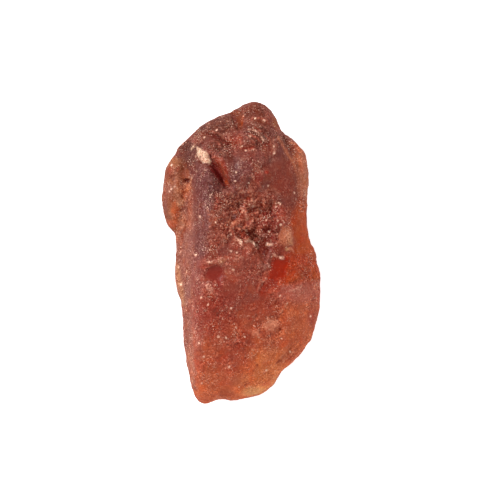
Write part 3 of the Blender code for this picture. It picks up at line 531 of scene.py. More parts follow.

# Single painted glints of the front, highlights on single grains: their places, by radius.
GLINTS = {
    0.1: ((0.3, 1.5), (2.6, 1.86), (-2.75, 2.38)),
    0.09: ((0.82, 3.1), (-0.8, -7.5)),
    0.08: ((-0.7, 1.26), (2.48, 3.38), (1.55, 8.76), (-4.15, -0.95), (-4.6, 5.9), (-4.62, 4.28),
        (-4.02, -2.05), (-2.15, -0.56), (-2.62, -2.9)),
    0.07: ((0.4, 1.26), (2.3, 3.06), (2.34, 1.28), (2.32, 3.32), (0.5, 3.22), (1.88, 1.38),
        (0.24, 2.84), (-2.95, 5.4), (2.15, 7.05), (2.15, 6.6), (0.6, 7.68), (-2.18, -3.36),
        (-0.68, -3.62), (0.22, -5.52), (-2.42, 7.7), (-3.92, 7.32), (0.3, 6.76), (0.45, 4.6),
        (-0.42, 4.72), (-0.65, 0.14), (-2.8, -5.9), (-1.52, -5.5), (3.25, -6.52)),
    0.06: ((2.58, 3.26), (1.62, 2.16), (1.22, 1.42), (2.4, 2.18), (0.72, 2.12), (-0.2, 2.7),
        (-1.66, 2.04), (0.9, 8.92), (-4.42, 4.42), (-4.75, 4.12), (3.05, -3.32), (-1.02, -5.58),
        (4.6, -4.18), (-2.45, -6.85), (1.65, -7.72), (0.02, 7.04), (1.8, 4.45), (-0.35, 5.32),
        (-0.3, 0.06), (-0.48, -1.08), (-3.02, -0.14), (2.58, -2.82), (-2.6, -8.62), (-0.14, -8.88),
        (-1.65, 8.12)),
    0.05: ((-0.72, -3.9), (3.52, 4.0), (2.65, -5.64), (-0.35, -4.92), (0.85, -4.84), (-2.15, 8.6)),
}

LINE_ENDS = (-0.15, 0.2)  # shares of a line's length over which it thins out
LINE_BREAKS = 0.22  # size of the breaks in the raised lines
LINE_WHOLE = (-0.7, 0.3)  # where that noise leaves a line
WHOLE_LINE = 0.85  # lines at least this strong aren't broken
LINE_WANDER = (0.06, 0.45)  # how far lines and plates stray, and the wavelength
SPOT_EDGE = (0.5, 1.2)  # spots and glints fade out between these shares of their radius
SPOT_STRENGTH = 0.7

# Painted light by relief: low places are painted a glowing red, as shade lit through the stone, and
# high ones paler, as a painted highlight. How many passes smooth the surroundings that a point is
# measured from, and how far off them it begins to show, and shows fully.
FINE_RELIEF = (4, 0.004, 0.03)
BROAD_RELIEF = (30, 0.02, 0.12)
FINE_LOW = 0.55
BROAD_LOW = 0.15  # only where the stone is crumbled
LOW_GLOW = (0.3, 0.7)  # on whole stone, and what crumbled stone adds
HIGH_HIGHLIGHT = (0.12, 0.38)

# Painted light through the stone's edges.
CLEAR_DEPTH = 2.2  # thickness that dims it to about a third
RAY_START = 0.02  # rays start this far below the surface

# Noises of the finish: wavelength, detail and roughness, then the part that is used, and what it
# runs from and to.
PATCHES = (0.9, 2.0, 0.5, 0.36, 0.62, 0.35, 1.0)  # where the frost is thick
MOTTLE = (0.34, 3.0, 0.6, 0.30, 0.70, 0.0, 1.0)
GRAIN = (0.11, 1.0, 0.5, 0.30, 0.70, 0.0, 1.0)
CRUMBS = (0.16, 1.0, 0.5, 0.35, 0.65, 0.0, 1.0)
PALE_GRAIN = (0.10, 0.0, 0.5, 0.55, 0.80, 0.0, 1.0)
STROKE_GAPS = (0.45, 1.0, 0.5, 0.46, 0.60, 0.0, 1.0)
GLINT_RARITY = (0.8, 2.0, 0.5, 0.35, 0.65, 0.71, 0.61)  # what a glint's noise has to pass
STROKES = (0.28, 1.0, 0.5)
FINISH_GLINTS = (0.085, 1.0, 0.5)
BUMPS = (0.11, 2.0, 0.6)

# The finish of the stone.
CLEAR = (0.45, 0.80)  # smoothness at which the pale grain of painted sparkle begins to go, and is gone
THIN_EDGE = (0.35, 1.0)  # painted light through the stone that shows at its edges
THIN_EDGE_GLOW = 0.2
# Painted sparkle, highlight strokes and glints: light caught by the frosted surface.
SPARK_SHARE = 0.13
PALE_GRAIN_STRENGTH = 0.85
STROKE_WIDTH = 0.06
STROKE_STRENGTH = 0.66
CRUMBLED_STROKES = 0.14  # what crumbled stone adds to the strokes
CRUMBLED_GLINTS = 0.03  # how much easier a glint passes on crumbled stone
GLINT_EDGE = 0.06
GLINT_STRENGTH = 0.75
ROUGHNESS = 0.30
FROST_ROUGHNESS = 0.10  # what frost adds
BUMP = 0.03
STONE_SHADER = {
    "IOR": 1.77,
    "Specular IOR Level": 0.0,
    "Transmission Weight": 0.10,
    "Subsurface Weight": 0.15,
    "Subsurface Radius": (1.0, 0.40, 0.25),  # red light goes furthest
    "Subsurface Scale": 0.35 * MM,
}
STONE_INSIDE = {"Color": (1.0, 0.30, 0.10, 1.0), "Density": 220.0}  # absorption, for each metre

# The light: a white tent, bright at its sides and dark at its top, and a lamp upper left.
WHITE = (1.0, 1.0, 1.0, 1.0)
TENT_STRENGTH = 0.95
TENT_TOP_STRENGTH = 0.05
TENT_FADE = (45, 65)  # degrees above the floor
LAMP_PLACE = (-80, 65, 115)
LAMP_SIZE = 26
LAMP_POWER = 0.17  # watts

# The floor.
FLOOR_SIZE = 1200
FLOOR_GAP = 0.02  # between the floor and the stone's rest face
FLOOR_SHADER = {
    "Base Color": (0.88, 0.88, 0.88, 1.0),
    "Roughness": 0.9,
    "Specular IOR Level": 0.1,
    "Emission Color": WHITE,
    "Emission Strength": 0.7,
}

# The camera looks straight down through a long macro lens.
SENSOR = 36.0
LENS = 300.0
FRAME_WIDTH = 33.33
CLIP_START = 10
CLIP_END = 5000
AIM = (0.58, 0.213, GIRDLE_HEIGHT)

# How noise and grains are built: large primes scramble the cells of a lattice.
LATTICE_PRIMES = (73856093, 19349663, 83492791)
SEED_PRIME = 668265263
SCRAMBLES = ((15, 2246822519), (13, 3266489917))
LAST_SHIFT = 16
LOW_BITS = 0xFFFFFFFF
SEED_SHIFT = 7.31  # in wavelengths, from one seed's noise to the next
NOISE_GAIN = 1.8
FACET_TILT = 1.3
CRACK_WIDTH = 0.22  # in grains
CREST_WIDTH = 0.30
FAR = 9.0  # further away than any grain, in grains


def smooth_step(value, low, high):
    """0 below low, 1 above high and an even curve between."""
    share = np.clip((value - low) / (high - low), 0.0, 1.0)
    return share * share * (3.0 - 2.0 * share)


def lattice_random(cells, seed):
    """A repeatable random number from 0 to 1 for each cell of a lattice."""
    x, y, z = (cells[..., axis] * prime for axis, prime in enumerate(LATTICE_PRIMES))
    mixed = (x ^ y ^ z ^ seed * SEED_PRIME) & LOW_BITS
    for shift, prime in SCRAMBLES:
        mixed = ((mixed ^ mixed >> shift) * prime) & LOW_BITS
    return (mixed ^ mixed >> LAST_SHIFT) / LOW_BITS


def lattice_vectors(cells, first_seed):
    """Three such numbers for each cell, from this seed and the two after it."""
    return np.stack([lattice_random(cells, first_seed + axis) for axis in range(3)], 1)


def noise_field(points, wavelength, seed):
    """Smooth noise from about -1 to 1 at each point."""
    place = points / wavelength + seed * SEED_SHIFT
    cell = np.floor(place).astype(np.int64)
    share = place - cell
    fade = share ** 3 * (share * (share * 6 - 15) + 10)
    total = np.zeros(len(points))
    for corner in np.ndindex(2, 2, 2):
        step = np.array(corner)
        slope = lattice_vectors(cell + step, seed * 3) * 2 - 1
        value = (slope * (share - step)).sum(1)
        total += value * np.prod(np.where(step == 1, fade, 1 - fade), axis=1)
    return total * NOISE_GAIN


def cell_field(points, size, seed):
    """Scattered grains, each a flat facet at an odd tilt: its height, about -1 to 1, and a share
    that falls to 0 at the cracks between them."""
    place = points / size
    cell = np.floor(place).astype(np.int64)
    first = np.full(len(points), FAR)
    second = np.full(len(points), FAR)
    height = np.zeros(len(points))
    for offset in np.ndindex(3, 3, 3):
        near = cell + np.array(offset) - 1
        spot = near + lattice_vectors(near, seed)
        away = np.linalg.norm(place - spot, axis=1)
        closer = away < first
        tilt = lattice_vectors(near, seed + 3) * 2 - 1
        middle = lattice_random(near, seed + 6) - 0.5
        facet = ((place - spot) * tilt).sum(1) * FACET_TILT + middle
        height = np.where(closer, facet, height)
        second = np.where(closer, first, np.minimum(second, away))
        first = np.where(closer, away, first)
    return height, smooth_step(second - first, 0.0, CRACK_WIDTH)


def crest_share(points, wavelength, seed):
    """1 on winding crest lines and 0 between them."""
    return 1 - smooth_step(np.abs(noise_field(points, wavelength, seed)), 0.0, CREST_WIDTH)


def along_leg(x, y, start, end):
    """How far along a straight run (0 to 1) the nearest point of it is, the distance to it, and
    which side each point is on, 1 to the left and -1 to the right."""
    (ax, ay), (bx, by) = start, end
    dx, dy = bx - ax, by - ay
    share = np.clip(((x - ax) * dx + (y - ay) * dy) / (dx * dx + dy * dy), 0, 1)
    away = np.hypot(x - ax - share * dx, y - ay - share * dy)
    return share, away, np.sign(dx * (y - ay) - dy * (x - ax))


def along_path(x, y, path):
    """Distance to a line of straight runs, how far along it (0 to 1) the nearest point is, and
    the distance with a sign, positive to the left of the line."""
    nearest = np.full(len(x), np.inf)
    run = np.zeros(len(x))
    side = np.zeros(len(x))
    legs = len(path) - 1
    for leg, (start, end) in enumerate(zip(path, path[1:])):
        share, away, leg_side = along_leg(x, y, start, end)
        closer = away < nearest
        run = np.where(closer, (leg + share) / legs, run)
        side = np.where(closer, leg_side, side)
        nearest = np.minimum(away, nearest)
    return nearest, run, side * nearest


def inside_plate(x, y, outline):
    """Distance to a plate's edge, positive inside it."""
    nearest = np.full(len(x), np.inf)
    inside = np.zeros(len(x), bool)
    for (ax, ay), (bx, by) in zip(outline, outline[1:] + outline[:1]):
        nearest = np.minimum(nearest, along_leg(x, y, (ax, ay), (bx, by))[1])
        if by != ay:
            inside ^= ((ay > y) != (by > y)) & (x < ax + (y - ay) * (bx - ax) / (by - ay))
    return np.where(inside, nearest, -nearest)


def patch(x, y, centre, half_size, turn):
    """How far out each point is, 0 at the centre of a turned oval and 1 at its edge."""
    c, s = math.cos(math.radians(turn)), math.sin(math.radians(turn))
    u = (x - centre[0]) * c + (y - centre[1]) * s
    v = (y - centre[1]) * c - (x - centre[0]) * s
    return np.hypot(u / half_size[0], v / half_size[1])


def patch_weight(points, oval, stray, edge):
    """1 in an oval patch and 0 away from it, with its edge strayed by noise."""
    return 1 - smooth_step(patch(points[:, 0], points[:, 1], *oval) + stray, *edge)


def line_weight(x, y, path, half_width):
    """1 on a line and 0 away from it, thinning out at its ends."""
    away, run, _ = along_path(x, y, path)
    ends = np.sqrt(smooth_step(run, *LINE_ENDS) * smooth_step(1 - run, *LINE_ENDS))
    return ends * np.exp(-(away / half_width) ** 2)


def spot_weight(x, y, place, radius):
    """1 on a spot and 0 away from it."""
    return 1 - smooth_step(np.hypot(x - place[0], y - place[1]) / radius, *SPOT_EDGE)


def select_only(obj):
    bpy.ops.object.select_all(action="DESELECT")
    obj.select_set(True)
    bpy.context.view_layer.objects.active = obj


def apply_modifier(obj, kind, **settings):
    modifier = obj.modifiers.new(kind.title(), kind)
    for name, value in settings.items():
        setattr(modifier, name, value)
    select_only(obj)
    bpy.ops.object.modifier_apply(modifier=modifier.name)


def vertex_values(mesh, name):
    """The places or the normals of the mesh's points."""
    flat = np.empty(len(mesh.vertices) * 3)
    mesh.vertices.foreach_get(name, flat)
    return flat.reshape(-1, 3)


def move_vertices(mesh, points):
    mesh.vertices.foreach_set("co", points.ravel())
    mesh.update()


def blank_skin(node):
    """A fine even skin over the solid, in millimetres, with the solid's facets rounded off."""
    stone = bpy.data.objects.new("garnet_stone", node.data.copy())
    bpy.context.scene.collection.objects.link(stone)
    select_only(stone)
    bpy.ops.object.mode_set(mode="EDIT")
    bpy.ops.mesh.select_all(action="SELECT")
    bpy.ops.mesh.remove_doubles(threshold=MERGE_DISTANCE)
    bpy.ops.object.mode_set(mode="OBJECT")
    stone.data.transform(Matrix.Scale(1 / MM, 4))
    apply_modifier(stone, "REMESH", mode="VOXEL", voxel_size=SKIN_GRAIN)
    apply_modifier(stone, "SMOOTH", factor=SKIN_SOFTNESS, iterations=SKIN_SOFTENING)
    return stone


def wear_soft(stone):
    """Rounds off the grooves that time has worn."""
    for path, half_width, passes in SOFTENED:
        points = vertex_values(stone.data, "co")
        weights = line_weight(points[:, 0], points[:, 1], path, half_width)
        weights *= points[:, 2] > SOFTENED_ABOVE
        group = stone.vertex_groups.new(name="worn")
        for step in range(1, WEIGHT_STEPS + 1):
            near = np.flatnonzero(np.abs(weights * WEIGHT_STEPS - step) <= 0.5)
            group.add(near.tolist(), step / WEIGHT_STEPS, "REPLACE")
        apply_modifier(stone, "SMOOTH", factor=WORN_SOFTNESS, iterations=passes,
                       vertex_group=group.name)
        stone.vertex_groups.clear()


def facing_up(normals):
    """1 on the front, 0 on the flanks and the underside."""
    return smooth_step(normals[:, 2], *FRONT_SLOPES)


def crumble_share(points):
    """How strongly each point is broken and crumbled, from 0 to 1."""
    wavelength, reach = CRUMBLE_WAVER
    stray = reach * noise_field(points, wavelength, SEEDS["crumble edge"])
    share = np.zeros(len(points))
    for *oval, strength in CRUMBLED:
        share = np.maximum(share, strength * patch_weight(points, oval, stray, CRUMBLE_EDGE))
    return share


def crumb_facets(points):
    """The facets and cracks of the broken grains, one kind of grain after the other."""
    return [cell_field(points, size, SEEDS["crumbs"] + SEED_STEP * kind)
            for kind, (size, _) in enumerate(CRUMBLE_GRAINS)]


def crumb_crests(points):
    """The crests between the broken grains, one kind after the other."""
    return [crest_share(points, wavelength, SEEDS["crests"] + kind)
            for kind, (wavelength, _) in enumerate(CRUMBLE_CRESTS)]


def broken_grains(points):
    """Angular ups and downs of a fresh break: flat facets at odd tilts, with cracks between."""
    wavelength, swell = CRUMBLE_SWELL
    height = swell * noise_field(points, wavelength, SEEDS["swell"])
    for (facet, lead), (_, amount) in zip(crumb_facets(points), CRUMBLE_GRAINS):
        height += amount * facet * (GRAIN_AT_CRACKS + (1 - GRAIN_AT_CRACKS) * lead)
    for crest, (_, amount) in zip(crumb_crests(points), CRUMBLE_CRESTS):
        height += amount * crest
    return height


def frost_grains(points):
    """The fine grain of the frosted surface, stronger in some patches than in others."""
    share = smooth_step(noise_field(points, FROST_PATCHES, SEEDS["frost patches"]), *FROST_RANGE)
    height = np.zeros(len(points))
    for kind, (size, amount) in enumerate(FROST_GRAINS):
        facet, lead = cell_field(points, size, SEEDS["frost"] + SEED_STEP * kind)
        height += amount * facet * lead
    return height * (THIN_FROST + (1 - THIN_FROST) * share)


def smooth_share(x, y):
    """1 on the few smooth, clear plates of the front."""
    share = np.zeros(len(x))
    for outline, softness, _, _, _, smoothness in PLATES:
        share = np.maximum(share, smoothness * smooth_step(inside_plate(x, y, outline), 0, softness))
    for *oval, smoothness in CALM:
        share = np.maximum(share, smoothness * (1 - smooth_step(patch(x, y, *oval), *CALM_EDGE)))
    return share


def strayed(points):
    """The places of the points seen from above, shaken a little so that no line is straight."""
    reach, wavelength = LINE_WANDER
    x = points[:, 0] + reach * noise_field(points, wavelength, SEEDS["wander"])
    y = points[:, 1] + reach * noise_field(points, wavelength, SEEDS["wander"] + 1)
    return x, y


def slot_share(x, y):
    """How deep each point lies in the slot, from 0 to 1."""
    _, run, side = along_path(x, y, SLOT)
    ends = np.sqrt(smooth_step(run, *SLOT_UPPER_END) * smooth_step(1 - run, *SLOT_LOWER_END))
    dark = smooth_step(side, -SLOT_DARK_WALL, SLOT_FLOOR)
    red = 1 - smooth_step(side, 0.0, SLOT_RED_WALL)
    return dark * red * ends


def carve(stone):
    """Works the fine relief into the skin."""
    mesh = stone.data
    points, normals = vertex_values(mesh, "co"), vertex_values(mesh, "normal")
    x, y = strayed(points)
    front = facing_up(normals)
    crumbled = crumble_share(points) * front
    height = sum(amount * noise_field(points, wavelength, seed)
                 for seed, (wavelength, amount) in enumerate(WEAR))
    height *= 1 - CRUMBLED_WEAR * crumbled
    height += frost_grains(points) * (1 - crumbled) * (FLANK_FROST + (1 - FLANK_FROST) * front)
    height += crumbled * broken_grains(points)
    height *= 1 - SMOOTHED_RELIEF * smooth_share(x, y) * front
    for path, half_width, lift, _, _ in LINES:
        height += lift * front * line_weight(x, y, path, half_width)
    for outline, softness, lift, _, _, _ in PLATES:
        height += lift * front * smooth_step(inside_plate(x, y, outline), -softness, softness)
    for place, radius, lift, _ in SPOTS:
        height += lift * front * spot_weight(x, y, place, radius)
    height *= smooth_step(points[:, 2], *REST_FADE)
    points += normals * height[:, None]
    points[:, 2] -= SLOT_DEPTH * slot_share(x, y) * front
    above = smooth_step(points[:, 2], *FILLED_HEIGHTS)
    for path, half_width, lift in FILLS:
        points[:, 2] += lift * above * line_weight(x, y, path, half_width)
    move_vertices(mesh, points)


def thin_out(stone):
    """Leaves the faces where they show: fewer of them, and fewest on the underside."""
    mesh = stone.data
    mesh.calc_loop_triangles()
    heights = vertex_values(mesh, "co")[:, 2]
    group = stone.vertex_groups.new(name="underside")
    group.add(list(range(len(heights))), 1 - UNDERSIDE_THINNING, "REPLACE")
    group.add(np.flatnonzero(heights < UNDERSIDE_TOP).tolist(), 1.0, "REPLACE")
    apply_modifier(stone, "DECIMATE", ratio=SKIN_TRIANGLES / len(mesh.loop_triangles),
                   vertex_group=group.name, vertex_group_factor=1.0)
    stone.vertex_groups.clear()


def toward(colour, shade, weight):
    """Colours moved towards a shade."""
    return colour + (np.array(shade[:3]) - colour) * weight[:, None]


def toned(colour, tone, weight):
    """Colours multiplied by a tone, as far as the weight says."""
    return colour * (1 + (np.array(tone) - 1) * weight[:, None])


def base_colour(points):
    """The stone's broad colour, from the dusky upper left to the orange lower right."""
    place = points[:, 0] * BASE_TURN[0] + points[:, 1] * BASE_TURN[1]
    steps = [step for step, _ in BASE_STEPS]
    bands = [np.interp(place, steps, [shade[band] for _, shade in BASE_STEPS]) for band in range(3)]
    return np.stack(bands, 1)


def dabbed(points, colour, front):
    """The smaller patches of colour, with wavering edges, and blotches of tone."""
    stray = sum(amount * noise_field(points, wavelength, SEEDS["waver"] + kind)
                for kind, (wavelength, amount) in enumerate(DAB_WAVER))
    for *oval, shade, strength in DABS:
        colour = toward(colour, shade, strength * front * patch_weight(points, oval, stray, DAB_EDGE))
    for kind, (tone, wavelength) in enumerate(BLOTCHES):
        noise = noise_field(points, wavelength, SEEDS["blotches"] + kind)
        colour = toned(colour, tone, smooth_step(noise, *BLOTCH_RANGE))
    return colour


def pale_flecks(points, colour, front):
    """Grains where the frost is coarse, painted pale as sparkle."""
    facet, lead = cell_field(points, FLECK_SIZE, SEEDS["flecks"])
    fleck = smooth_step(facet, *FLECK_TILT) * lead
    wavelength, reach = FLECK_WAVER
    stray = reach * noise_field(points, wavelength, SEEDS["fleck edge"])
    for *oval, shade, strength in PALE_FROST:
        share = strength * front * patch_weight(points, oval, stray, FLECK_EDGE)
        colour = toward(colour, shade, share * fleck)
    return colour


def crumb_colours(points, colour, crumbled):
    """Painted light on the broken grains: highlights on their high facets and crests, red painted
    shade on their low facets and dark painted shade in their cracks, then their redder tone.
    """
    for (facet, lead), contrast in zip(crumb_facets(points), CRUMB_CONTRAST):
        share = crumbled * contrast
        colour = toward(colour, PEACH, share * smooth_step(facet, *CRUMB_TILT))
        colour = toward(colour, CRIMSON, share * smooth_step(-facet, *CRUMB_TILT))
        colour = toward(colour, OXBLOOD, CRACK_SHADE * share * (1 - lead))
    noise = noise_field(points, CREST_BREAKS, SEEDS["whole crests"])
    whole = smooth_step(noise, *CREST_WHOLE)
    for crest in crumb_crests(points):
        colour = toward(colour, SHELL, CREST_HIGHLIGHT * crumbled * whole * crest)
    return toned(colour, CRUMB_TONE, crumbled)


def relief(mesh, points, normals, passes, least, most):
    """How clearly each point lies below its smoothed surroundings, and how clearly above them."""
    edges = np.empty(len(mesh.edges) * 2, int)
    mesh.edges.foreach_get("vertices", edges)
    a, b = edges.reshape(-1, 2).T
    count = np.bincount(edges, minlength=len(points))[:, None]
    smooth = points.copy()
    for _ in range(passes):
        total = np.zeros_like(smooth)
        for axis in range(3):
            total[:, axis] += np.bincount(a, smooth[b, axis], len(points))
            total[:, axis] += np.bincount(b, smooth[a, axis], len(points))
        smooth = 0.5 * smooth + 0.5 * total / count
    height = ((points - smooth) * normals).sum(1)
    return smooth_step(-height, least, most), smooth_step(height, least, most)


def shaded_relief(mesh, points, normals, colour, crumbled):
    """Painted light by relief: low places painted a glowing red, shade lit through the stone, and
    high ones a paler painted highlight.
    """
    fine_low, high = relief(mesh, points, normals, *FINE_RELIEF)
    broad_low, _ = relief(mesh, points, normals, *BROAD_RELIEF)
    low = FINE_LOW * fine_low + BROAD_LOW * crumbled * broad_low
    colour = toward(colour, GLOW, low * (LOW_GLOW[0] + LOW_GLOW[1] * crumbled))
    return toward(colour, PEACH, high * (HIGH_HIGHLIGHT[0] + HIGH_HIGHLIGHT[1] * crumbled))


def marked(points, normals, colour, front):
    """Lines, spots and painted glints."""
    x, y = strayed(points)
    broken = smooth_step(noise_field(points, LINE_BREAKS, SEEDS["line breaks"]), *LINE_WHOLE)
    for path, half_width, lift, shade, strength in LINES:
        whole = strength * (broken if lift > 0 and strength < WHOLE_LINE else 1.0)
        colour = toward(colour, shade, whole * front * line_weight(x, y, path, half_width))
    level = smooth_step(normals[:, 2], *MARK_SLOPES)
    for place, radius, _, shade in SPOTS:
        weight = SPOT_STRENGTH * level * spot_weight(x, y, place, radius)
        colour = toward(colour, shade, weight)
    for radius, places in GLINTS.items():
        for place in places:
            colour = toward(colour, GLINT, level * spot_weight(x, y, place, radius))
    return colour


def outlined(points, colour, front, areas):
    """Areas of colour: outline, softness of its edge, colour and strength of each."""
    x, y = strayed(points)
    for outline, softness, shade, strength in areas:
        edge = smooth_step(inside_plate(x, y, outline), -softness, softness)
        colour = toward(colour, shade, strength * front * edge)
    return colour


def painted(mesh, points, normals):
    """The colour of each point, laid on in the order in which the layers cover each other."""
    front = smooth_step(normals[:, 2], *PAINT_SLOPES)
    crumbled = crumble_share(points) * front
    colour = outlined(points, base_colour(points), front, FACES)
    colour = dabbed(points, colour, front)
    colour = pale_flecks(points, colour, front)
    colour = crumb_colours(points, colour, crumbled)
    colour = shaded_relief(mesh, points, normals, colour, crumbled)
    plates = [(outline, softness, shade, strength)
              for outline, softness, _, shade, strength, _ in PLATES]
    colour = outlined(points, colour, front, plates)
    # the rim is painted darker, as shade where the surface turns away
    rim = 1 - smooth_step(np.abs(normals[:, 2]), *RIM_SLOPES)
    colour = toward(colour, PLUM, RIM_PAINTED_SHADE * rim)
    return marked(points, normals, colour, front)


def thickness(points, mesh):
    """How much stone lies straight below each point."""
    tree = BVHTree.FromPolygons([v.co for v in mesh.vertices], [p.vertices for p in mesh.polygons])
    depths = np.empty(len(points))
    down = Vector((0, 0, -1))
    for i, (x, y, z) in enumerate(points):
        place, _, _, away = tree.ray_cast(Vector((x, y, z - RAY_START)), down)
        depths[i] = 0.0 if place is None else away
    return depths


def keep_values(mesh, name, values):
    """Keeps a number or a colour for each point, for the material to read."""
    if values.ndim == 2:
        layer = mesh.attributes.new(name, "FLOAT_VECTOR", "POINT")
        layer.data.foreach_set("vector", values.astype(np.float32).ravel())
    else:
        layer = mesh.attributes.new(name, "FLOAT", "POINT")
        layer.data.foreach_set("value", values.astype(np.float32))


def lay_colours(stone):
    """Writes where each colour lies, and how smooth, broken and thin the stone is, to the mesh."""
    mesh = stone.data
    points, normals = vertex_values(mesh, "co"), vertex_values(mesh, "normal")
    x, y = strayed(points)
    keep_values(mesh, "paint", painted(mesh, points, normals))
    keep_values(mesh, "smooth", smooth_share(x, y) * facing_up(normals))
    keep_values(mesh, "crumbled", crumble_share(points) * facing_up(normals))
    keep_values(mesh, "thin", np.exp(-thickness(points, mesh) / CLEAR_DEPTH))


def set_sockets(node, values):
    for name, value in values.items():
        node.inputs[name].default_value = value


class Nodes:
    """Short ways to build one material's nodes."""

    def __init__(self, material):
        material.use_nodes = True
        self.tree = material.node_tree
        self.shader = self.tree.nodes["Principled BSDF"]
        self.output = self.tree.nodes["Material Output"]
        self.place = self.tree.nodes.new("ShaderNodeTexCoord").outputs["Object"]

    def set(self, socket, value):
        if isinstance(value, bpy.types.NodeSocket):
            self.tree.links.new(value, socket)
        else:
            socket.default_value = value

    def attribute(self, name, output="Fac"):
        node = self.tree.nodes.new("ShaderNodeAttribute")
        node.attribute_name = name
        return node.outputs[output]

    def noise(self, wavelength, detail, roughness):
        node = self.tree.nodes.new("ShaderNodeTexNoise")
        self.set(node.inputs["Vector"], self.place)
        set_sockets(node, {"Scale": 1 / (wavelength * MM), "Detail": detail, "Roughness": roughness})
        return node.outputs["Fac"]

    def math(self, operation, a, b=0.0):
        node = self.tree.nodes.new("ShaderNodeMath")
        node.operation = operation
        self.set(node.inputs[0], a)
        self.set(node.inputs[1], b)
        return node.outputs[0]

    def times(self, a, b):
        return self.math("MULTIPLY", a, b)

    def less(self, a, b):
        return self.math("SUBTRACT", a, b)

    def ramp(self, value, low, high, start=0.0, end=1.0):
        """value from low to high, mapped smoothly to start to end."""
        node = self.tree.nodes.new("ShaderNodeMapRange")
        node.interpolation_type = "SMOOTHSTEP"
        for name, setting in (("Value", value), ("From Min", low), ("From Max", high),
                              ("To Min", start), ("To Max", end)):
            self.set(node.inputs[name], setting)
        return node.outputs["Result"]

    def speckle(self, wavelength, detail, roughness, low, high, start, end):
        """A noise, and the part of it that is used."""
        return self.ramp(self.noise(wavelength, detail, roughness), low, high, start, end)

    def mix(self, factor, a, b, blend="MIX"):
        node = self.tree.nodes.new("ShaderNodeMix")
        node.data_type = "RGBA"
        node.blend_type = blend
        self.set(node.inputs[0], factor)
        self.set(node.inputs[6], a)  # the colour sockets follow those for numbers and vectors
        self.set(node.inputs[7], b)
        return node.outputs[2]

    def tone(self, factor, colour, tones):
        """The colour multiplied by the tones, as far as the factor says."""
        return self.mix(factor, colour, self.mix(1.0, colour, tones, "MULTIPLY"))


def garnet_colour(n, crumbled, frosted, lively):
    """The painted colour with the fine mottle and grain of the surface, painted light through its
    thin edges, and painted sparkle, highlight strokes and glints.
    """
    colour = n.attribute("paint", "Color")
    # painted light through the stone, paler at its thin edges
    edge = n.times(n.ramp(n.attribute("thin"), *THIN_EDGE), THIN_EDGE_GLOW)
    colour = n.mix(edge, colour, CLAY)
    mottle = n.mix(n.speckle(*MOTTLE), MOTTLE_DARK, MOTTLE_PALE)
    colour = n.mix(1.0, colour, mottle, "MULTIPLY")
    colour = n.tone(frosted, colour, n.mix(n.speckle(*GRAIN), GRAIN_DARK, GRAIN_PALE))
    colour = n.tone(crumbled, colour, n.mix(n.speckle(*CRUMBS), CRUMB_DARK, CRUMB_PALE))
    # painted sparkle: pale grains, highlight strokes and glints, light caught by the frosted surface
    pale = n.times(n.speckle(*PALE_GRAIN), lively)
    sparkle_colour = n.mix(SPARK_SHARE, n.mix(1.0, colour, PALER, "MULTIPLY"), SPARK)
    colour = n.mix(n.times(pale, PALE_GRAIN_STRENGTH), colour, sparkle_colour)

    away = n.math("ABSOLUTE", n.less(n.noise(*STROKES), 0.5))
    highlight_stroke = n.times(n.ramp(away, 0.0, STROKE_WIDTH, 1.0, 0.0), n.speckle(*STROKE_GAPS))
    strength = n.math("ADD", STROKE_STRENGTH, n.times(crumbled, CRUMBLED_STROKES))
    colour = n.mix(n.times(n.times(highlight_stroke, strength), lively), colour, sparkle_colour)

    rarity = n.less(n.speckle(*GLINT_RARITY), n.times(crumbled, CRUMBLED_GLINTS))
    glint = n.ramp(n.less(n.noise(*FINISH_GLINTS), rarity), 0.0, GLINT_EDGE)
    return n.mix(n.times(n.times(glint, frosted), GLINT_STRENGTH), colour, GLINT)


def garnet_finish():
    material = bpy.data.materials.new("garnet")
    n = Nodes(material)
    shader = n.shader.inputs
    smooth = n.attribute("smooth")
    patches = n.speckle(*PATCHES)
    frosted = n.times(n.less(1.0, smooth), patches)
    lively = n.times(n.ramp(smooth, *CLEAR, 1.0, 0.0), patches)
    n.set(shader["Base Color"], garnet_colour(n, n.attribute("crumbled"), frosted, lively))
    n.set(shader["Roughness"], n.math("ADD", ROUGHNESS, n.times(frosted, FROST_ROUGHNESS)))

    bump = n.tree.nodes.new("ShaderNodeBump")
    set_sockets(bump, {"Distance": BUMP * MM, "Strength": 1.0})
    n.set(bump.inputs["Height"], n.times(n.noise(*BUMPS), frosted))
    n.set(shader["Normal"], bump.outputs["Normal"])
    set_sockets(n.shader, STONE_SHADER)
    inside = n.tree.nodes.new("ShaderNodeVolumeAbsorption")
    set_sockets(inside, STONE_INSIDE)
    n.set(n.output.inputs["Volume"], inside.outputs["Volume"])
    return material


def shape_stone():
    stone = blank_skin(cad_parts["rough_garnet"])
    wear_soft(stone)
    carve(stone)
    thin_out(stone)
    return stone


def dress_stone(stone):
    lay_colours(stone)
    stone.data.transform(Matrix.Scale(MM, 4))
    stone.data.materials.clear()
    stone.data.materials.append(garnet_finish())
    select_only(stone)
    bpy.ops.object.shade_smooth()
    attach(stone, "root")
    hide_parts("rough_garnet")


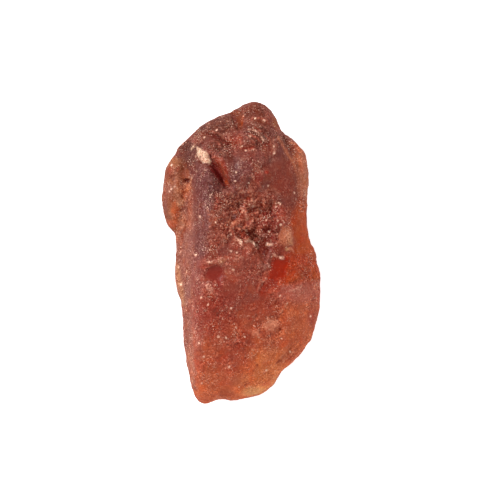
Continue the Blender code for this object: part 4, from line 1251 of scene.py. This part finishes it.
def lay_floor():
    bpy.ops.object.select_all(action="DESELECT")
    bpy.ops.mesh.primitive_plane_add(size=FLOOR_SIZE * MM, location=(0, 0, -FLOOR_GAP * MM))
    floor = bpy.context.active_object
    floor.name = "floor"
    material = bpy.data.materials.new("pale_floor")
    material.use_nodes = True
    set_sockets(material.node_tree.nodes["Principled BSDF"], FLOOR_SHADER)
    floor.data.materials.append(material)


def light_tent():
    """Even white light from all round, darker straight above where the camera looks in."""
    world = bpy.data.worlds.new("light_tent")
    bpy.context.scene.world = world
    world.use_nodes = True
    nodes, links = world.node_tree.nodes, world.node_tree.links
    place = nodes.new("ShaderNodeTexCoord")
    split = nodes.new("ShaderNodeSeparateXYZ")
    links.new(place.outputs["Generated"], split.inputs["Vector"])
    fade = nodes.new("ShaderNodeMapRange")
    fade.interpolation_type = "SMOOTHSTEP"
    low, high = (math.sin(math.radians(angle)) for angle in TENT_FADE)
    set_sockets(fade, {"From Min": low, "From Max": high,
                       "To Min": TENT_STRENGTH, "To Max": TENT_TOP_STRENGTH})
    links.new(split.outputs["Z"], fade.inputs["Value"])
    links.new(fade.outputs["Result"], nodes["Background"].inputs["Strength"])
    nodes["Background"].inputs["Color"].default_value = WHITE


def add_lamp(name, place, size, power):
    light = bpy.data.lights.new(name, "AREA")
    light.size = size * MM
    light.energy = power
    lamp = bpy.data.objects.new(name, light)
    bpy.context.scene.collection.objects.link(lamp)
    lamp.location = [value * MM for value in place]
    aim = Vector([value * MM for value in AIM]) - lamp.location
    lamp.rotation_euler = aim.to_track_quat("-Z", "Y").to_euler()


def place_camera():
    camera = bpy.data.cameras.new("camera")
    camera.lens = LENS
    camera.sensor_width = SENSOR
    camera.clip_start = CLIP_START * MM
    camera.clip_end = CLIP_END * MM
    holder = bpy.data.objects.new("camera", camera)
    bpy.context.scene.collection.objects.link(holder)
    distance = FRAME_WIDTH * LENS / SENSOR
    holder.location = (AIM[0] * MM, AIM[1] * MM, (AIM[2] + distance) * MM)
    holder.rotation_euler = (0, 0, 0)
    bpy.context.scene.camera = holder


dress_stone(shape_stone())
lay_floor()
light_tent()
add_lamp("lamp", LAMP_PLACE, LAMP_SIZE, LAMP_POWER)
place_camera()
bpy.context.scene.view_settings.view_transform = "Standard"
